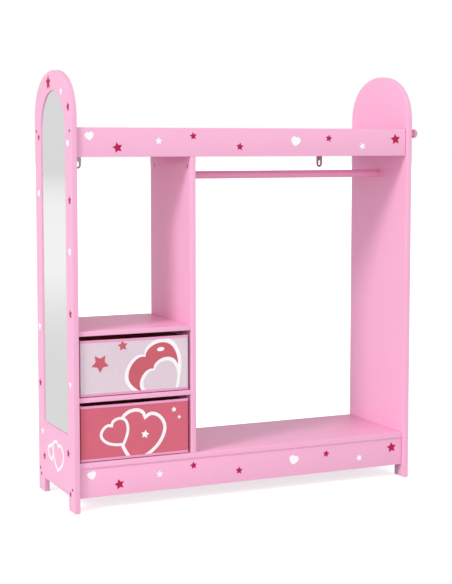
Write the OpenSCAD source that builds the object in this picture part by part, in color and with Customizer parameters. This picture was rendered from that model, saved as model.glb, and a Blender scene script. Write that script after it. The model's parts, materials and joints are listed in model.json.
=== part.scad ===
// Dress up storage unit with a mirror: two arched side panels, an open tray across the top,
// a hanging bay with a clothes rail, and a narrow column with two pull-out fabric boxes.
// Millimetres, +Z up, the open front faces -Y. The origin is on the floor, under the middle
// of the whole unit with its pegs.
// Board places are worked out in unit coordinates: X from the left panel's outer face,
// Y from the side panels' front edges, Z from the floor.

/* [Unit] */
// Width over the two side panels
unit_w = 936; // [800:1:1200]
// Height to the top of the arches
unit_h = 1070; // [1010:1:1300]
// Depth of the side panels
unit_d = 294; // [270:1:400]

/* [Boards] */
// Thickness of the side panels and the divider
panel_t = 14; // [12:0.5:18]
// Thickness of the top shelf and the two small shelves
shelf_t = 12; // [12:0.5:18]
// Thickness of the seat board over the base
seat_t = 14; // [12:0.5:18]
// Thickness of the upright rails
rail_t = 12; // [12:0.5:18]
// How far the shelves and the top rail sit behind the panels' front edges
front_setback = 7; // [2:0.5:20]
// How far the boards stop short of the panels' back edges
back_setback = 7; // [6:0.5:20]

/* [Side panels] */
// Width of each foot, front to back
foot_w = 46; // [30:1:70]
// Height of the cut-out between the feet
foot_h = 37; // [20:1:45]
// Height of the arch over the panels' straight edges
arch_h = 116; // [112:1:140]
// Radius of the arch's two shoulders
shoulder_r = 106; // [80:1:108]

/* [Top tray] */
// Distance of the tray's underside below the arches' tops
tray_drop = 210; // [175:1:260]
// Height of the front and back tray rails
top_rail_h = 70; // [50:1:90]

/* [Base] */
// Height of the seat board's top
seat_z = 122; // [110:1:160]
// Height of the base rails' lower edges
base_rail_z = 35; // [15:1:45]
// How far the seat board overhangs the front base rail
seat_overhang = 3; // [0:0.5:8]

/* [Box column] */
// Clear width between the left panel and the divider
column_w = 293.6; // [240:0.2:360]
// How far the divider stops short of the shelves' back edges
divider_short = 10; // [1:1:30]
// Clear height of the lower box's bay
lower_bay_h = 147.5; // [143:0.5:180]
// Clear height of the upper box's bay
upper_bay_h = 149.5; // [143:0.5:180]

/* [Clothes rail] */
// Diameter of the clothes rail
clothes_rail_d = 20; // [16:1:30]
// Height of the rail's axis below the tray
clothes_rail_drop = 48.3; // [40:0.1:90]
// Depth of the blind holes that hold the rail's ends
rail_socket = 7; // [4:0.5:9]

/* [Mirror] */
// Width of painted panel left round the mirror's sides and arch
mirror_rim = 49; // [30:1:80]
// Height of the mirror's lower edge
mirror_z = 186; // [120:1:300]
// How deep the mirror's face lies below the panel's face
mirror_recess = 2.5; // [1:0.5:4]
// Thickness of the mirror sheet
mirror_t = 2; // [1.5:0.5:2.5]
// Thickness of the foam tape behind the mirror
tape_t = 0.6; // [0.4:0.1:1]
// Width of each tape pad
tape_w = 20; // [12:1:30]
// Length of each tape pad
tape_l = 120; // [60:1:160]

/* [Fabric boxes] */
// Gap above a box in the lower of the two bays
box_headroom = 9; // [3:0.1:30]
// How far a box stops short of the shelves' back edges
box_short = 7; // [0:1:60]
// Gap between a box and the left panel
box_gap_left = 5.5; // [2:0.1:10]
// Gap between a box and the divider
box_gap_right = 6.8; // [2:0.1:10]
// How far a box's front sits behind the shelves' front edges
box_setback = 1.5; // [1:0.5:10]
// Gap under a box
box_lift = 0.3; // [0.2:0.05:0.6]
// Thickness of the outer fabric
fabric_t = 1; // [0.6:0.1:2]
// Thickness of the stiffener in each wall
stiffener_t = 2; // [1.5:0.5:4]
// Thickness of the lining
lining_t = 0.8; // [0.5:0.1:1.5]
// Thickness of the loose bottom board
bottom_board_t = 3; // [2:0.5:5]
// Slack round the loose bottom board
bottom_board_slack = 1; // [0.5:0.1:3]
// Thickness of the binding tape
binding_t = 0.6; // [0.4:0.1:1]
// Height of the binding along the top edge
top_binding_h = 5.6; // [4:0.2:12]
// Height of the binding along the bottom edge
bottom_binding_h = 8.2; // [4:0.2:12]

/* [Pegs] */
// How far a peg stands out of the right panel
peg_reach = 39; // [30:1:60]
// Diameter of a peg's head
peg_head_d = 23; // [18:1:32]
// Length of a peg's head
peg_head_l = 13; // [10:0.5:18]
// Diameter of a peg's neck
peg_neck_d = 13; // [10:0.5:16]
// Distance from the panel's front and back edges to the pegs
peg_inset = 40; // [34:1:90]
// Distance of the pegs below the tray rails' upper edge
peg_drop = 12; // [12:1:40]

/* [Wall straps] */
// Width of a strap
strap_w = 17; // [14:1:24]
// Thickness of a strap
strap_t = 2; // [1:0.5:2.5]
// Length of a strap
strap_l = 60; // [50:1:80]
// How far a strap hangs below the tray
strap_hang = 33; // [28:1:40]
// Width of the slot for the wall screw
slot_w = 6; // [5:0.5:10]
// Length of the slot for the wall screw
slot_l = 13; // [12:1:20]
// Distance from the strap's lower end to its slot
slot_margin = 6; // [3:0.2:7]
// Distance from the left panel's outer face to the left strap
strap_inset_left = 111; // [60:1:250]
// Distance from the right panel's outer face to the right strap
strap_inset_right = 121; // [60:1:250]

/* [Fasteners] */
// Clearance round every pin, screw and socket
fit = 0.1; // [0.05:0.01:0.1]
// Diameter of the connecting screws
screw_d = 5; // [4:0.5:6]
// Length of the connecting screws
screw_l = 45; // [35:1:60]
// Diameter of the connecting screws' flat heads
screw_head_d = 8; // [7:0.5:10]
// Height of the connecting screws' flat heads
screw_head_t = 3; // [2:0.5:4]
// How far the connecting screws' heads stand out of the panels
screw_proud = 0.4; // [0:0.1:1]
// Distance of the upper connecting screws below the tray rails' upper edge
top_screw_drop = 8; // [7:0.5:20]
// Distance of the lower connecting screws above the base rails' lower edge
base_screw_rise = 22; // [15:0.5:30]
// Diameter of the dowels in the rails' ends
dowel_d = 8; // [6:0.5:9]
// Length of the dowels in the rails' ends
dowel_l = 30; // [22:1:36]
// Distance of the end dowels from the rails' shelf side
dowel_inset = 18; // [14:1:24]
// Diameter of the thin dowels between shelves and rails
thin_dowel_d = 6; // [5:0.5:7]
// Length of the thin dowels between shelves and rails
thin_dowel_l = 18; // [14:1:20]
// Distance of the outer thin dowels from the side panels
thin_dowel_inset = 130; // [60:1:200]
// Diameter of the cam locks
cam_d = 12; // [10:0.5:15]
// Height of the cam locks
cam_h = 10; // [9:0.5:10.5]
// Distance from a board's end to its cam locks
cam_reach = 24; // [18:1:34]
// Diameter of the cam locks' bolts
cam_bolt_d = 5; // [4:0.5:5.5]
// How deep a cam lock's bolt is screwed into the next board
cam_bolt_in = 6; // [4:0.5:6.5]
// Distance of the shelves' cam locks from the shelves' front and back edges
cam_inset = 50; // [35:1:80]
// Distance of the divider's front cam lock behind the top shelf's front edge
divider_cam_front = 9; // [6:1:60]
// Distance of the divider's back cam lock from its back edge
divider_cam_back = 30; // [20:1:60]
// Distance of the screws under the divider from its front and back edges
divider_screw_inset = 60; // [40:1:100]
// Diameter of the screws in the pegs and straps
small_screw_d = 4; // [3:0.5:4.5]
// Diameter of the small screws' heads
small_head_d = 7.5; // [7:0.5:9]
// Height of the small screws' heads
small_head_t = 2; // [1.5:0.5:2.5]
// Board left in front of the strap screws' tips
strap_screw_skin = 2; // [1:0.5:4]

/* [Hidden] */

$fn = 48;
through = 1;                 // how far a cut runs past the face it opens

pink = [0.91, 0.56, 0.72];
rail_pink = [0.86, 0.50, 0.66];
steel = [0.62, 0.62, 0.63];
beech = [0.80, 0.66, 0.47];
card = [0.72, 0.60, 0.45];
pale_fabric = [0.86, 0.78, 0.81];
rose_fabric = [0.80, 0.34, 0.44];
binding_pink = [0.89, 0.50, 0.70];

// Heights
springline = unit_h - arch_h;
mirror_springline = unit_h - unit_d / 2;
tray_z = unit_h - tray_drop;
rail_top_z = tray_z + top_rail_h;
seat_under = seat_z - seat_t;
lower_shelf_z = seat_z + lower_bay_h;
middle_shelf_z = lower_shelf_z + shelf_t + upper_bay_h;
top_screw_z = rail_top_z - top_screw_drop;
base_screw_z = base_rail_z + base_screw_rise;
top_dowel_z = tray_z + dowel_inset;
base_dowel_z = seat_under - dowel_inset;

// Places from front to back
board_back = unit_d - back_setback;
board_d = board_back - front_setback;
divider_d = board_d - divider_short;
top_back_rail_y = board_back - rail_t;
base_front_rail_y = front_setback + seat_overhang;
tray_front = front_setback + rail_t;
tray_d = top_back_rail_y - tray_front;
middle_y = unit_d / 2;
shoulder_y = [shoulder_r, unit_d - shoulder_r];
front_rail_mid = front_setback + rail_t / 2;
back_rail_mid = top_back_rail_y + rail_t / 2;
base_front_mid = base_front_rail_y + rail_t / 2;
tray_cam_y = [tray_front + cam_inset, top_back_rail_y - cam_inset];
shelf_cam_y = [front_setback + cam_inset, board_back - cam_inset];
divider_back = front_setback + divider_d;
divider_cam_y = [tray_front + divider_cam_front, divider_back - divider_cam_back];
divider_screw_y = [front_setback + divider_screw_inset, divider_back - divider_screw_inset];

// Places from left to right
inner_l = panel_t;
inner_r = unit_w - panel_t;
inner_w = inner_r - inner_l;
divider_x = inner_l + column_w;
divider_mid = divider_x + panel_t / 2;
divider_r = divider_x + panel_t;
thin_dowel_x = [inner_l + thin_dowel_inset, unit_w / 2, inner_r - thin_dowel_inset];

// The arch's crown, a flatter arc that runs on from both shoulders
crown_r = (pow(middle_y, 2) + pow(arch_h, 2) - unit_d * shoulder_r)
    / (2 * (arch_h - shoulder_r));
crown_z = unit_h - crown_r;

// Mirror, in the left panel's outer face
mirror_r = middle_y - mirror_rim;
pocket = mirror_recess + mirror_t + tape_t;

// Fabric boxes
box_w = column_w - box_gap_left - box_gap_right;
box_h = min(lower_bay_h, upper_bay_h) - box_lift - box_headroom;
box_d = board_d - box_setback - box_short;
box_x = inner_l + box_gap_left;
box_y = front_setback + box_setback;
lower_box_z = seat_z + box_lift;
upper_box_z = lower_shelf_z + shelf_t + box_lift;
wall_t = fabric_t + stiffener_t + lining_t;

// Straps and pegs
strap_x = [strap_inset_left, unit_w - strap_inset_right];
strap_bottom = tray_z - strap_hang;
strap_screw_z = strap_bottom + strap_l - strap_w / 2;
strap_screw_l = strap_t + rail_t - strap_screw_skin;
peg_y = [peg_inset, unit_d - peg_inset];
peg_z = rail_top_z - peg_drop;
peg_screw_l = panel_t + peg_reach / 2;

// ---- Helpers ----

// A hole is a pin with a gap round it, and runs out past the face that it opens
function past(gap) = gap > 0 ? through : 0;

// Moves unit coordinates to the part's own origin
module in_frame() {
    translate([(screw_proud - unit_w - peg_reach) / 2, -unit_d / 2, 0]) children();
}

// A rod along +X, +Y or +Z from a point
module rod_x(at, d, l) { translate(at) rotate([0, 90, 0]) cylinder(d = d, h = l); }
module rod_y(at, d, l) { translate(at) rotate([-90, 0, 0]) cylinder(d = d, h = l); }
module rod_z(at, d, l) { translate(at) cylinder(d = d, h = l); }

module board(at, size) { translate(at) cube(size); }

// The same thing at the left end and, mirrored, at the right end
module both_ends() {
    children();
    translate([unit_w, 0, 0]) mirror([1, 0, 0]) children();
}

// An upright sheet in the YZ plane, from its side outline
module side_sheet(x, t) {
    translate([x, 0, 0]) rotate([90, 0, 90]) linear_extrude(t) children();
}

// ---- Screws and dowels at the left end; both_ends() makes the right end's ----

rail_ends = [[front_rail_mid, top_screw_z], [back_rail_mid, top_screw_z],
    [base_front_mid, base_screw_z], [back_rail_mid, base_screw_z]];
dowel_ends = [[front_rail_mid, top_dowel_z], [back_rail_mid, top_dowel_z],
    [base_front_mid, base_dowel_z], [back_rail_mid, base_dowel_z]];

module end_screws(gap) {
    for (p = rail_ends) {
        rod_x([-screw_proud - past(gap), p[0], p[1]], screw_head_d + 2 * gap,
            screw_head_t + gap + past(gap));
        rod_x([0, p[0], p[1]], screw_d + 2 * gap, screw_l + gap);
    }
}

// A quarter of each dowel sits in the side panel
module end_dowels(gap) {
    start = inner_l - dowel_l / 4;
    for (p = dowel_ends)
        rod_x([start - gap, p[0], p[1]], dowel_d + 2 * gap, dowel_l + 2 * gap);
}

// Thin dowels: along Y between the tray rails and the top shelf, upright in the base
module tray_dowels(gap) {
    for (x = thin_dowel_x) {
        start = tray_front - thin_dowel_l / 2;
        rod_y([x, start - gap, tray_z + shelf_t / 2], thin_dowel_d + 2 * gap,
            thin_dowel_l + 2 * gap);
        end = top_back_rail_y - thin_dowel_l / 2;
        rod_y([x, end - gap, tray_z + shelf_t / 2], thin_dowel_d + 2 * gap,
            thin_dowel_l + 2 * gap);
    }
}

module base_dowels(gap) {
    for (x = thin_dowel_x, y = [base_front_mid, back_rail_mid])
        rod_z([x, y, seat_under - thin_dowel_l / 2 - gap], thin_dowel_d + 2 * gap,
            thin_dowel_l + 2 * gap);
}

module seat_screws(gap) {
    for (y = divider_screw_y) {
        rod_z([divider_mid, y, seat_under - past(gap)], screw_head_d + 2 * gap,
            screw_head_t + gap + past(gap));
        rod_z([divider_mid, y, seat_under], screw_d + 2 * gap, screw_l + gap);
    }
}

// ---- Cam locks: one lock and its bolt at the left end of a level board ----

// z is the board's underside, t its thickness, end_x the face it butts against
module cam_at(end_x, y, z, gap) {
    rod_z([end_x + cam_reach, y, z - past(gap)], cam_d + 2 * gap, cam_h + gap + past(gap));
}

module cam_bolt_at(end_x, y, z, t, gap) {
    rod_x([end_x - cam_bolt_in - gap, y, z + t / 2], cam_bolt_d + 2 * gap,
        cam_bolt_in + cam_reach + 2 * gap);
}

// Every level board's underside, thickness and lock places at the left panel
level_boards = [[tray_z, shelf_t, tray_cam_y], [middle_shelf_z, shelf_t, shelf_cam_y],
    [lower_shelf_z, shelf_t, shelf_cam_y], [seat_under, seat_t, shelf_cam_y]];

module left_cams(gap) {
    for (b = level_boards, y = b[2]) cam_at(inner_l, y, b[0], gap);
}

module left_cam_bolts(gap) {
    for (b = level_boards, y = b[2]) cam_bolt_at(inner_l, y, b[0], b[1], gap);
}

// At the right panel only the tray and the seat board have locks
module right_cams(gap) {
    translate([unit_w, 0, 0]) mirror([1, 0, 0])
        for (b = [level_boards[0], level_boards[3]], y = b[2]) cam_at(inner_l, y, b[0], gap);
}

module right_cam_bolts(gap) {
    translate([unit_w, 0, 0]) mirror([1, 0, 0])
        for (b = [level_boards[0], level_boards[3]], y = b[2])
            cam_bolt_at(inner_l, y, b[0], b[1], gap);
}

// The small shelves' locks at the divider
module divider_side_cams(gap) {
    translate([inner_l + divider_x, 0, 0]) mirror([1, 0, 0])
        for (b = [level_boards[1], level_boards[2]], y = b[2]) cam_at(inner_l, y, b[0], gap);
}

module divider_side_bolts(gap) {
    translate([inner_l + divider_x, 0, 0]) mirror([1, 0, 0])
        for (b = [level_boards[1], level_boards[2]], y = b[2])
            cam_bolt_at(inner_l, y, b[0], b[1], gap);
}

// The divider's own locks open in its left face, with upright bolts from the tray
module divider_top_cams(gap) {
    for (y = divider_cam_y)
        rod_x([divider_x - past(gap), y, tray_z - cam_reach], cam_d + 2 * gap,
            cam_h + gap + past(gap));
}

module divider_top_bolts(gap) {
    for (y = divider_cam_y)
        rod_z([divider_mid, y, tray_z - cam_reach - gap], cam_bolt_d + 2 * gap,
            cam_bolt_in + cam_reach + 2 * gap);
}

module all_cams(gap) {
    left_cams(gap);
    right_cams(gap);
    divider_side_cams(gap);
    divider_top_cams(gap);
}

module all_cam_bolts(gap) {
    left_cam_bolts(gap);
    right_cam_bolts(gap);
    divider_side_bolts(gap);
    divider_top_bolts(gap);
}

// ---- Side panels ----

// The part of the panel's side that the arch's crown closes, up to past its top
module crown_sector() {
    reach = 2 * crown_r / (crown_r - shoulder_r);
    side = reach * (middle_y - shoulder_r);
    rise = reach * (springline - crown_z);
    translate([middle_y, crown_z])
        polygon([[0, 0], [-side, rise], [-side, 2 * crown_r], [side, 2 * crown_r], [side, rise]]);
}

// Side outline: arched top, two feet with a straight cut-out between them
module panel_outline() {
    difference() {
        union() {
            square([unit_d, springline]);
            for (y = shoulder_y)
                translate([y, springline]) circle(r = shoulder_r, $fn = 180);
            intersection() {
                translate([middle_y, crown_z]) circle(r = crown_r, $fn = 360);
                crown_sector();
            }
        }
        translate([foot_w, -through]) square([unit_d - 2 * foot_w, foot_h + through]);
    }
}

module mirror_outline(gap) {
    translate([mirror_rim - gap, mirror_z - gap])
        square([2 * (mirror_r + gap), mirror_springline - mirror_z + gap]);
    translate([middle_y, mirror_springline]) circle(r = mirror_r + gap, $fn = 180);
}

module peg_screw_rods(gap) {
    for (y = peg_y) {
        rod_x([inner_r, y, peg_z], small_screw_d + 2 * gap, peg_screw_l + gap);
        rod_x([inner_r - past(gap), y, peg_z], small_head_d + 2 * gap,
            small_head_t + gap + past(gap));
    }
}

module clothes_rail_rod(gap) {
    rod_x([divider_r - rail_socket, middle_y, tray_z - clothes_rail_drop],
        clothes_rail_d + 2 * gap, inner_r - divider_r + 2 * rail_socket);
}

module side_panel_left() {
    color(pink) in_frame() difference() {
        side_sheet(0, panel_t) panel_outline();
        side_sheet(-through, pocket + through) mirror_outline(fit);
        end_screws(fit);
        end_dowels(fit);
        left_cam_bolts(fit);
    }
}

module side_panel_right() {
    color(pink) in_frame() difference() {
        side_sheet(inner_r, panel_t) panel_outline();
        both_ends() end_screws(fit);
        both_ends() end_dowels(fit);
        right_cam_bolts(fit);
        peg_screw_rods(fit);
        clothes_rail_rod(fit);
    }
}

// ---- Boards between the panels ----

module divider_panel() {
    color(pink) in_frame() difference() {
        board([divider_x, front_setback, seat_z], [panel_t, divider_d, tray_z - seat_z]);
        clothes_rail_rod(fit);
        divider_side_bolts(fit);
        divider_top_cams(fit);
        divider_top_bolts(fit);
        seat_screws(fit);
    }
}

module top_shelf() {
    color(pink) in_frame() difference() {
        board([inner_l, tray_front, tray_z], [inner_w, tray_d, shelf_t]);
        left_cams(fit);
        right_cams(fit);
        left_cam_bolts(fit);
        right_cam_bolts(fit);
        divider_top_bolts(fit);
        tray_dowels(fit);
    }
}

// A rail between the side panels, with the holes for its end screws and dowels
module upright_rail(y, z, h) {
    difference() {
        board([inner_l, y, z], [inner_w, rail_t, h]);
        both_ends() end_screws(fit);
        both_ends() end_dowels(fit);
        children();
    }
}

module top_front_rail() {
    color(pink) in_frame()
        upright_rail(front_setback, tray_z, top_rail_h) tray_dowels(fit);
}

module strap_screw_rods(gap) {
    for (x = strap_x)
        rod_y([x, board_back + strap_t - strap_screw_l - gap, strap_screw_z],
            small_screw_d + 2 * gap, strap_screw_l + 2 * gap);
}

module top_back_rail() {
    color(pink) in_frame() upright_rail(top_back_rail_y, tray_z, top_rail_h) {
        tray_dowels(fit);
        strap_screw_rods(fit);
    }
}

module seat_board() {
    color(pink) in_frame() difference() {
        board([inner_l, front_setback, seat_under], [inner_w, board_d, seat_t]);
        left_cams(fit);
        right_cams(fit);
        left_cam_bolts(fit);
        right_cam_bolts(fit);
        seat_screws(fit);
        base_dowels(fit);
    }
}

module base_front_rail() {
    color(pink) in_frame()
        upright_rail(base_front_rail_y, base_rail_z, seat_under - base_rail_z)
            base_dowels(fit);
}

module base_back_rail() {
    color(pink) in_frame()
        upright_rail(top_back_rail_y, base_rail_z, seat_under - base_rail_z)
            base_dowels(fit);
}

module small_shelf(z) {
    difference() {
        board([inner_l, front_setback, z], [column_w, board_d, shelf_t]);
        left_cams(fit);
        left_cam_bolts(fit);
        divider_side_cams(fit);
        divider_side_bolts(fit);
    }
}

module middle_shelf() { color(pink) in_frame() small_shelf(middle_shelf_z); }
module lower_shelf() { color(pink) in_frame() small_shelf(lower_shelf_z); }

module clothes_rail() {
    color(rail_pink) in_frame() clothes_rail_rod(0);
}

// ---- Mirror ----

module mirror_sheet() {
    color([0.85, 0.86, 0.87]) in_frame()
        side_sheet(mirror_recess, mirror_t) mirror_outline(-fit);
}

// Pads in two rows, one near each side of the mirror
module mirror_tape() {
    rows = 4;
    step = (mirror_springline - mirror_z - tape_l) / (rows - 1);
    color([0.92, 0.92, 0.90]) in_frame()
        for (i = [0:rows - 1], y = [mirror_rim + tape_w, unit_d - mirror_rim - 2 * tape_w])
            board([mirror_recess + mirror_t, y, mirror_z + i * step],
                [tape_t, tape_w, tape_l]);
}

// ---- Pegs, straps and fasteners ----

// A turned peg: straight neck, rounded head
module peg(y) {
    edge = min(peg_head_l, peg_head_d - peg_neck_d) / 2;
    half = peg_head_d / 2;
    head = peg_reach - peg_head_l;
    translate([unit_w, y, peg_z]) rotate([0, 90, 0]) difference() {
        union() {
            cylinder(d = peg_neck_d, h = head + edge);
            rotate_extrude() {
                translate([0, head]) square([half - edge, peg_head_l]);
                translate([0, head + edge]) square([half, peg_head_l - 2 * edge]);
                translate([half - edge, head + edge]) circle(r = edge);
                translate([half - edge, peg_reach - edge]) circle(r = edge);
            }
        }
        translate([0, 0, -through])
            cylinder(d = small_screw_d + 2 * fit, h = peg_screw_l - panel_t + fit + through);
    }
}

module peg_front() { color(pink) in_frame() peg(peg_y[0]); }
module peg_rear() { color(pink) in_frame() peg(peg_y[1]); }

module peg_screws() { color(steel) in_frame() peg_screw_rods(0); }

// A flat steel strap with a round lower end, a screw hole and a long slot
module strap(x) {
    slot_z = strap_bottom + slot_margin;
    difference() {
        union() {
            rod_y([x, board_back, strap_bottom + strap_w / 2], strap_w, strap_t);
            rod_y([x, board_back, strap_bottom + strap_l - strap_w / 2], strap_w, strap_t);
            board([x - strap_w / 2, board_back, strap_bottom + strap_w / 2],
                [strap_w, strap_t, strap_l - strap_w]);
        }
        for (z = [slot_z + slot_w / 2, slot_z + slot_l - slot_w / 2])
            rod_y([x, board_back - through, z], slot_w, strap_t + 2 * through);
        board([x - slot_w / 2, board_back - through, slot_z + slot_w / 2],
            [slot_w, strap_t + 2 * through, slot_l - slot_w]);
        strap_screw_rods(fit);
    }
}

module wall_strap_left() { color(steel) in_frame() strap(strap_x[0]); }
module wall_strap_right() { color(steel) in_frame() strap(strap_x[1]); }

module strap_screws() {
    color(steel) in_frame() {
        strap_screw_rods(0);
        for (x = strap_x)
            rod_y([x, board_back + strap_t, strap_screw_z], small_head_d, small_head_t);
    }
}

// A hexagon socket in each connecting screw's head
module connecting_screws() {
    socket_d = screw_head_d / 2;
    color(steel) in_frame() both_ends() difference() {
        end_screws(0);
        for (p = rail_ends)
            translate([-screw_proud - through, p[0], p[1]]) rotate([0, 90, 0])
                cylinder(d = socket_d, h = screw_head_t / 2 + through, $fn = 6);
    }
}

module divider_screws() { color(steel) in_frame() seat_screws(0); }

module cam_locks() {
    color(steel) in_frame() difference() {
        all_cams(0);
        all_cam_bolts(fit);
    }
}

module cam_bolts() { color(steel) in_frame() all_cam_bolts(0); }

module rail_dowels() { color(beech) in_frame() both_ends() end_dowels(0); }

module thin_dowels() {
    color(beech) in_frame() {
        tray_dowels(0);
        base_dowels(0);
    }
}

// ---- Fabric boxes: each layer is an open box inside the one before ----

// Space of a box, drawn in by inset on the four sides, from height low up to height high
module box_space(z, inset, low, high) {
    board([box_x + inset, box_y + inset, z + low],
        [box_w - 2 * inset, box_d - 2 * inset, high - low]);
}

module box_fabric(z) {
    difference() {
        box_space(z, binding_t, 0, box_h - binding_t);
        box_space(z, binding_t + fabric_t, fabric_t, box_h);
    }
}

// Four separate boards: the front and back ones reach from side to side
module box_stiffeners(z) {
    inset = binding_t + fabric_t;
    low = z + fabric_t;
    height = box_h - binding_t - fabric_t;
    for (y = [box_y + inset, box_y + box_d - inset - stiffener_t])
        board([box_x + inset, y, low], [box_w - 2 * inset, stiffener_t, height]);
    for (x = [box_x + inset, box_x + box_w - inset - stiffener_t])
        board([x, box_y + inset + stiffener_t + fit, low],
            [stiffener_t, box_d - 2 * (inset + stiffener_t + fit), height]);
}

module box_lining(z) {
    inset = binding_t + fabric_t + stiffener_t;
    difference() {
        box_space(z, inset, fabric_t, box_h - binding_t);
        box_space(z, inset + lining_t, fabric_t + lining_t, box_h);
    }
}

module box_bottom_board(z) {
    low = fabric_t + lining_t;
    box_space(z, binding_t + wall_t + bottom_board_slack, low, low + bottom_board_t);
}

// The binding folds over the top edge, outside and inside
module box_top_binding(z) {
    difference() {
        box_space(z, 0, box_h - top_binding_h, box_h);
        box_space(z, 2 * binding_t + wall_t, 0, box_h + through);
        difference() {
            box_space(z, binding_t, 0, box_h - binding_t);
            box_space(z, binding_t + wall_t, 0, box_h);
        }
    }
}

module box_bottom_binding(z) {
    difference() {
        box_space(z, 0, 0, bottom_binding_h);
        box_space(z, binding_t, -through, bottom_binding_h + through);
    }
}

module upper_box_fabric() { color(pale_fabric) in_frame() box_fabric(upper_box_z); }
module upper_box_stiffeners() { color(card) in_frame() box_stiffeners(upper_box_z); }
module upper_box_lining() { color(pale_fabric) in_frame() box_lining(upper_box_z); }
module upper_box_bottom_board() { color(pale_fabric) in_frame() box_bottom_board(upper_box_z); }
module upper_box_top_binding() { color(binding_pink) in_frame() box_top_binding(upper_box_z); }
module upper_box_bottom_binding() {
    color(binding_pink) in_frame() box_bottom_binding(upper_box_z);
}
module lower_box_fabric() { color(rose_fabric) in_frame() box_fabric(lower_box_z); }
module lower_box_stiffeners() { color(card) in_frame() box_stiffeners(lower_box_z); }
module lower_box_lining() { color(rose_fabric) in_frame() box_lining(lower_box_z); }
module lower_box_bottom_board() { color(rose_fabric) in_frame() box_bottom_board(lower_box_z); }
module lower_box_top_binding() { color(binding_pink) in_frame() box_top_binding(lower_box_z); }
module lower_box_bottom_binding() {
    color(binding_pink) in_frame() box_bottom_binding(lower_box_z);
}

side_panel_left();
side_panel_right();
divider_panel();
top_shelf();
top_front_rail();
top_back_rail();
seat_board();
base_front_rail();
base_back_rail();
middle_shelf();
lower_shelf();
clothes_rail();
mirror_sheet();
mirror_tape();
peg_front();
peg_rear();
peg_screws();
wall_strap_left();
wall_strap_right();
strap_screws();
connecting_screws();
divider_screws();
cam_locks();
cam_bolts();
rail_dowels();
thin_dowels();
upper_box_fabric();
upper_box_stiffeners();
upper_box_lining();
upper_box_bottom_board();
upper_box_top_binding();
upper_box_bottom_binding();
lower_box_fabric();
lower_box_stiffeners();
lower_box_lining();
lower_box_bottom_board();
lower_box_top_binding();
lower_box_bottom_binding();
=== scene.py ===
"""A child's open wardrobe in pink painted board, dressed round its fixed construction.

The script is laid out as an add-on. One operator makes each group of pieces and one sets the
stage. Lengths are metres, or millimetres where a name ends in _mm. X runs to the right, Y to
the back and Z up, and the open front faces -Y.
"""
import json
import math
from contextlib import contextmanager

import bmesh
import bpy
from bpy.props import FloatProperty, FloatVectorProperty, PointerProperty
from mathutils import Matrix, Vector, noise


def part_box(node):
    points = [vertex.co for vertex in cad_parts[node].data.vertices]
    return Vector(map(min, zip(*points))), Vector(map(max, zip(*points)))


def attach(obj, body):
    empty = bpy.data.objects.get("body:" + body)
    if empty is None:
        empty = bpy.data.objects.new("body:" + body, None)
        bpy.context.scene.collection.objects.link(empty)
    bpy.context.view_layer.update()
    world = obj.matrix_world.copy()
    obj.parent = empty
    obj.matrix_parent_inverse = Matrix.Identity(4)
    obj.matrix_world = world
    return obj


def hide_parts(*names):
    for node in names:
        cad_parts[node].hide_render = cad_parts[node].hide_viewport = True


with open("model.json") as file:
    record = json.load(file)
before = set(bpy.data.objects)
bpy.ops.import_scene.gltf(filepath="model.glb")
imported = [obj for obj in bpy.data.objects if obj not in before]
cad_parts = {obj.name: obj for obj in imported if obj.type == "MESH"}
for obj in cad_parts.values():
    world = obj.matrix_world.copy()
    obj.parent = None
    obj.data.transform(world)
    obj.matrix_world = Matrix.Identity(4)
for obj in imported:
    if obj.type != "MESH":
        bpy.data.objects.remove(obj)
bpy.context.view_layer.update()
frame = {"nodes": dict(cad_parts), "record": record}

bl_info = {
    "name": "Dress up storage unit",
    "version": (1, 0, 0),
    "blender": (4, 5, 0),
    "location": "View3D > Sidebar > Dress up",
    "description": "Makes the visible pieces of a child's wardrobe with a mirror and fabric boxes",
    "category": "Object",
}

MM = 0.001
SAME_PLACE = 1e-5            # places closer than this count as one
BOXES = ("upper_box", "lower_box")
BOARDS = (
    "side_panel_left", "side_panel_right", "divider_panel", "top_shelf", "top_front_rail",
    "top_back_rail", "seat_board", "base_front_rail", "base_back_rail", "middle_shelf",
    "lower_shelf",
)

PANEL_LOW, PANEL_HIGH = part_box("side_panel_left")
PANEL_D = PANEL_HIGH.y - PANEL_LOW.y


def unit_point(x_mm, y_mm, z_mm):
    """A place from the left panel's outer face, the panels' front edges and the floor."""
    return Vector((PANEL_LOW.x + x_mm * MM, PANEL_LOW.y + y_mm * MM, z_mm * MM))


# ---- What a user would change -------------------------------------------------------------

def length(name, description, default_mm):
    return FloatProperty(name=name, description=description, default=default_mm * MM,
                         min=0.0, unit="LENGTH", precision=5)


def number(name, description, default, least=0.0):
    return FloatProperty(name=name, description=description, default=default, min=least)


def angle(name, description, degrees):
    return FloatProperty(name=name, description=description, default=math.radians(degrees),
                         subtype="ANGLE")


def colour(name, description, red, green, blue):
    return FloatVectorProperty(name=name, description=description, subtype="COLOR",
                               default=(red, green, blue), size=3, min=0.0, max=1.0)


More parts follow.
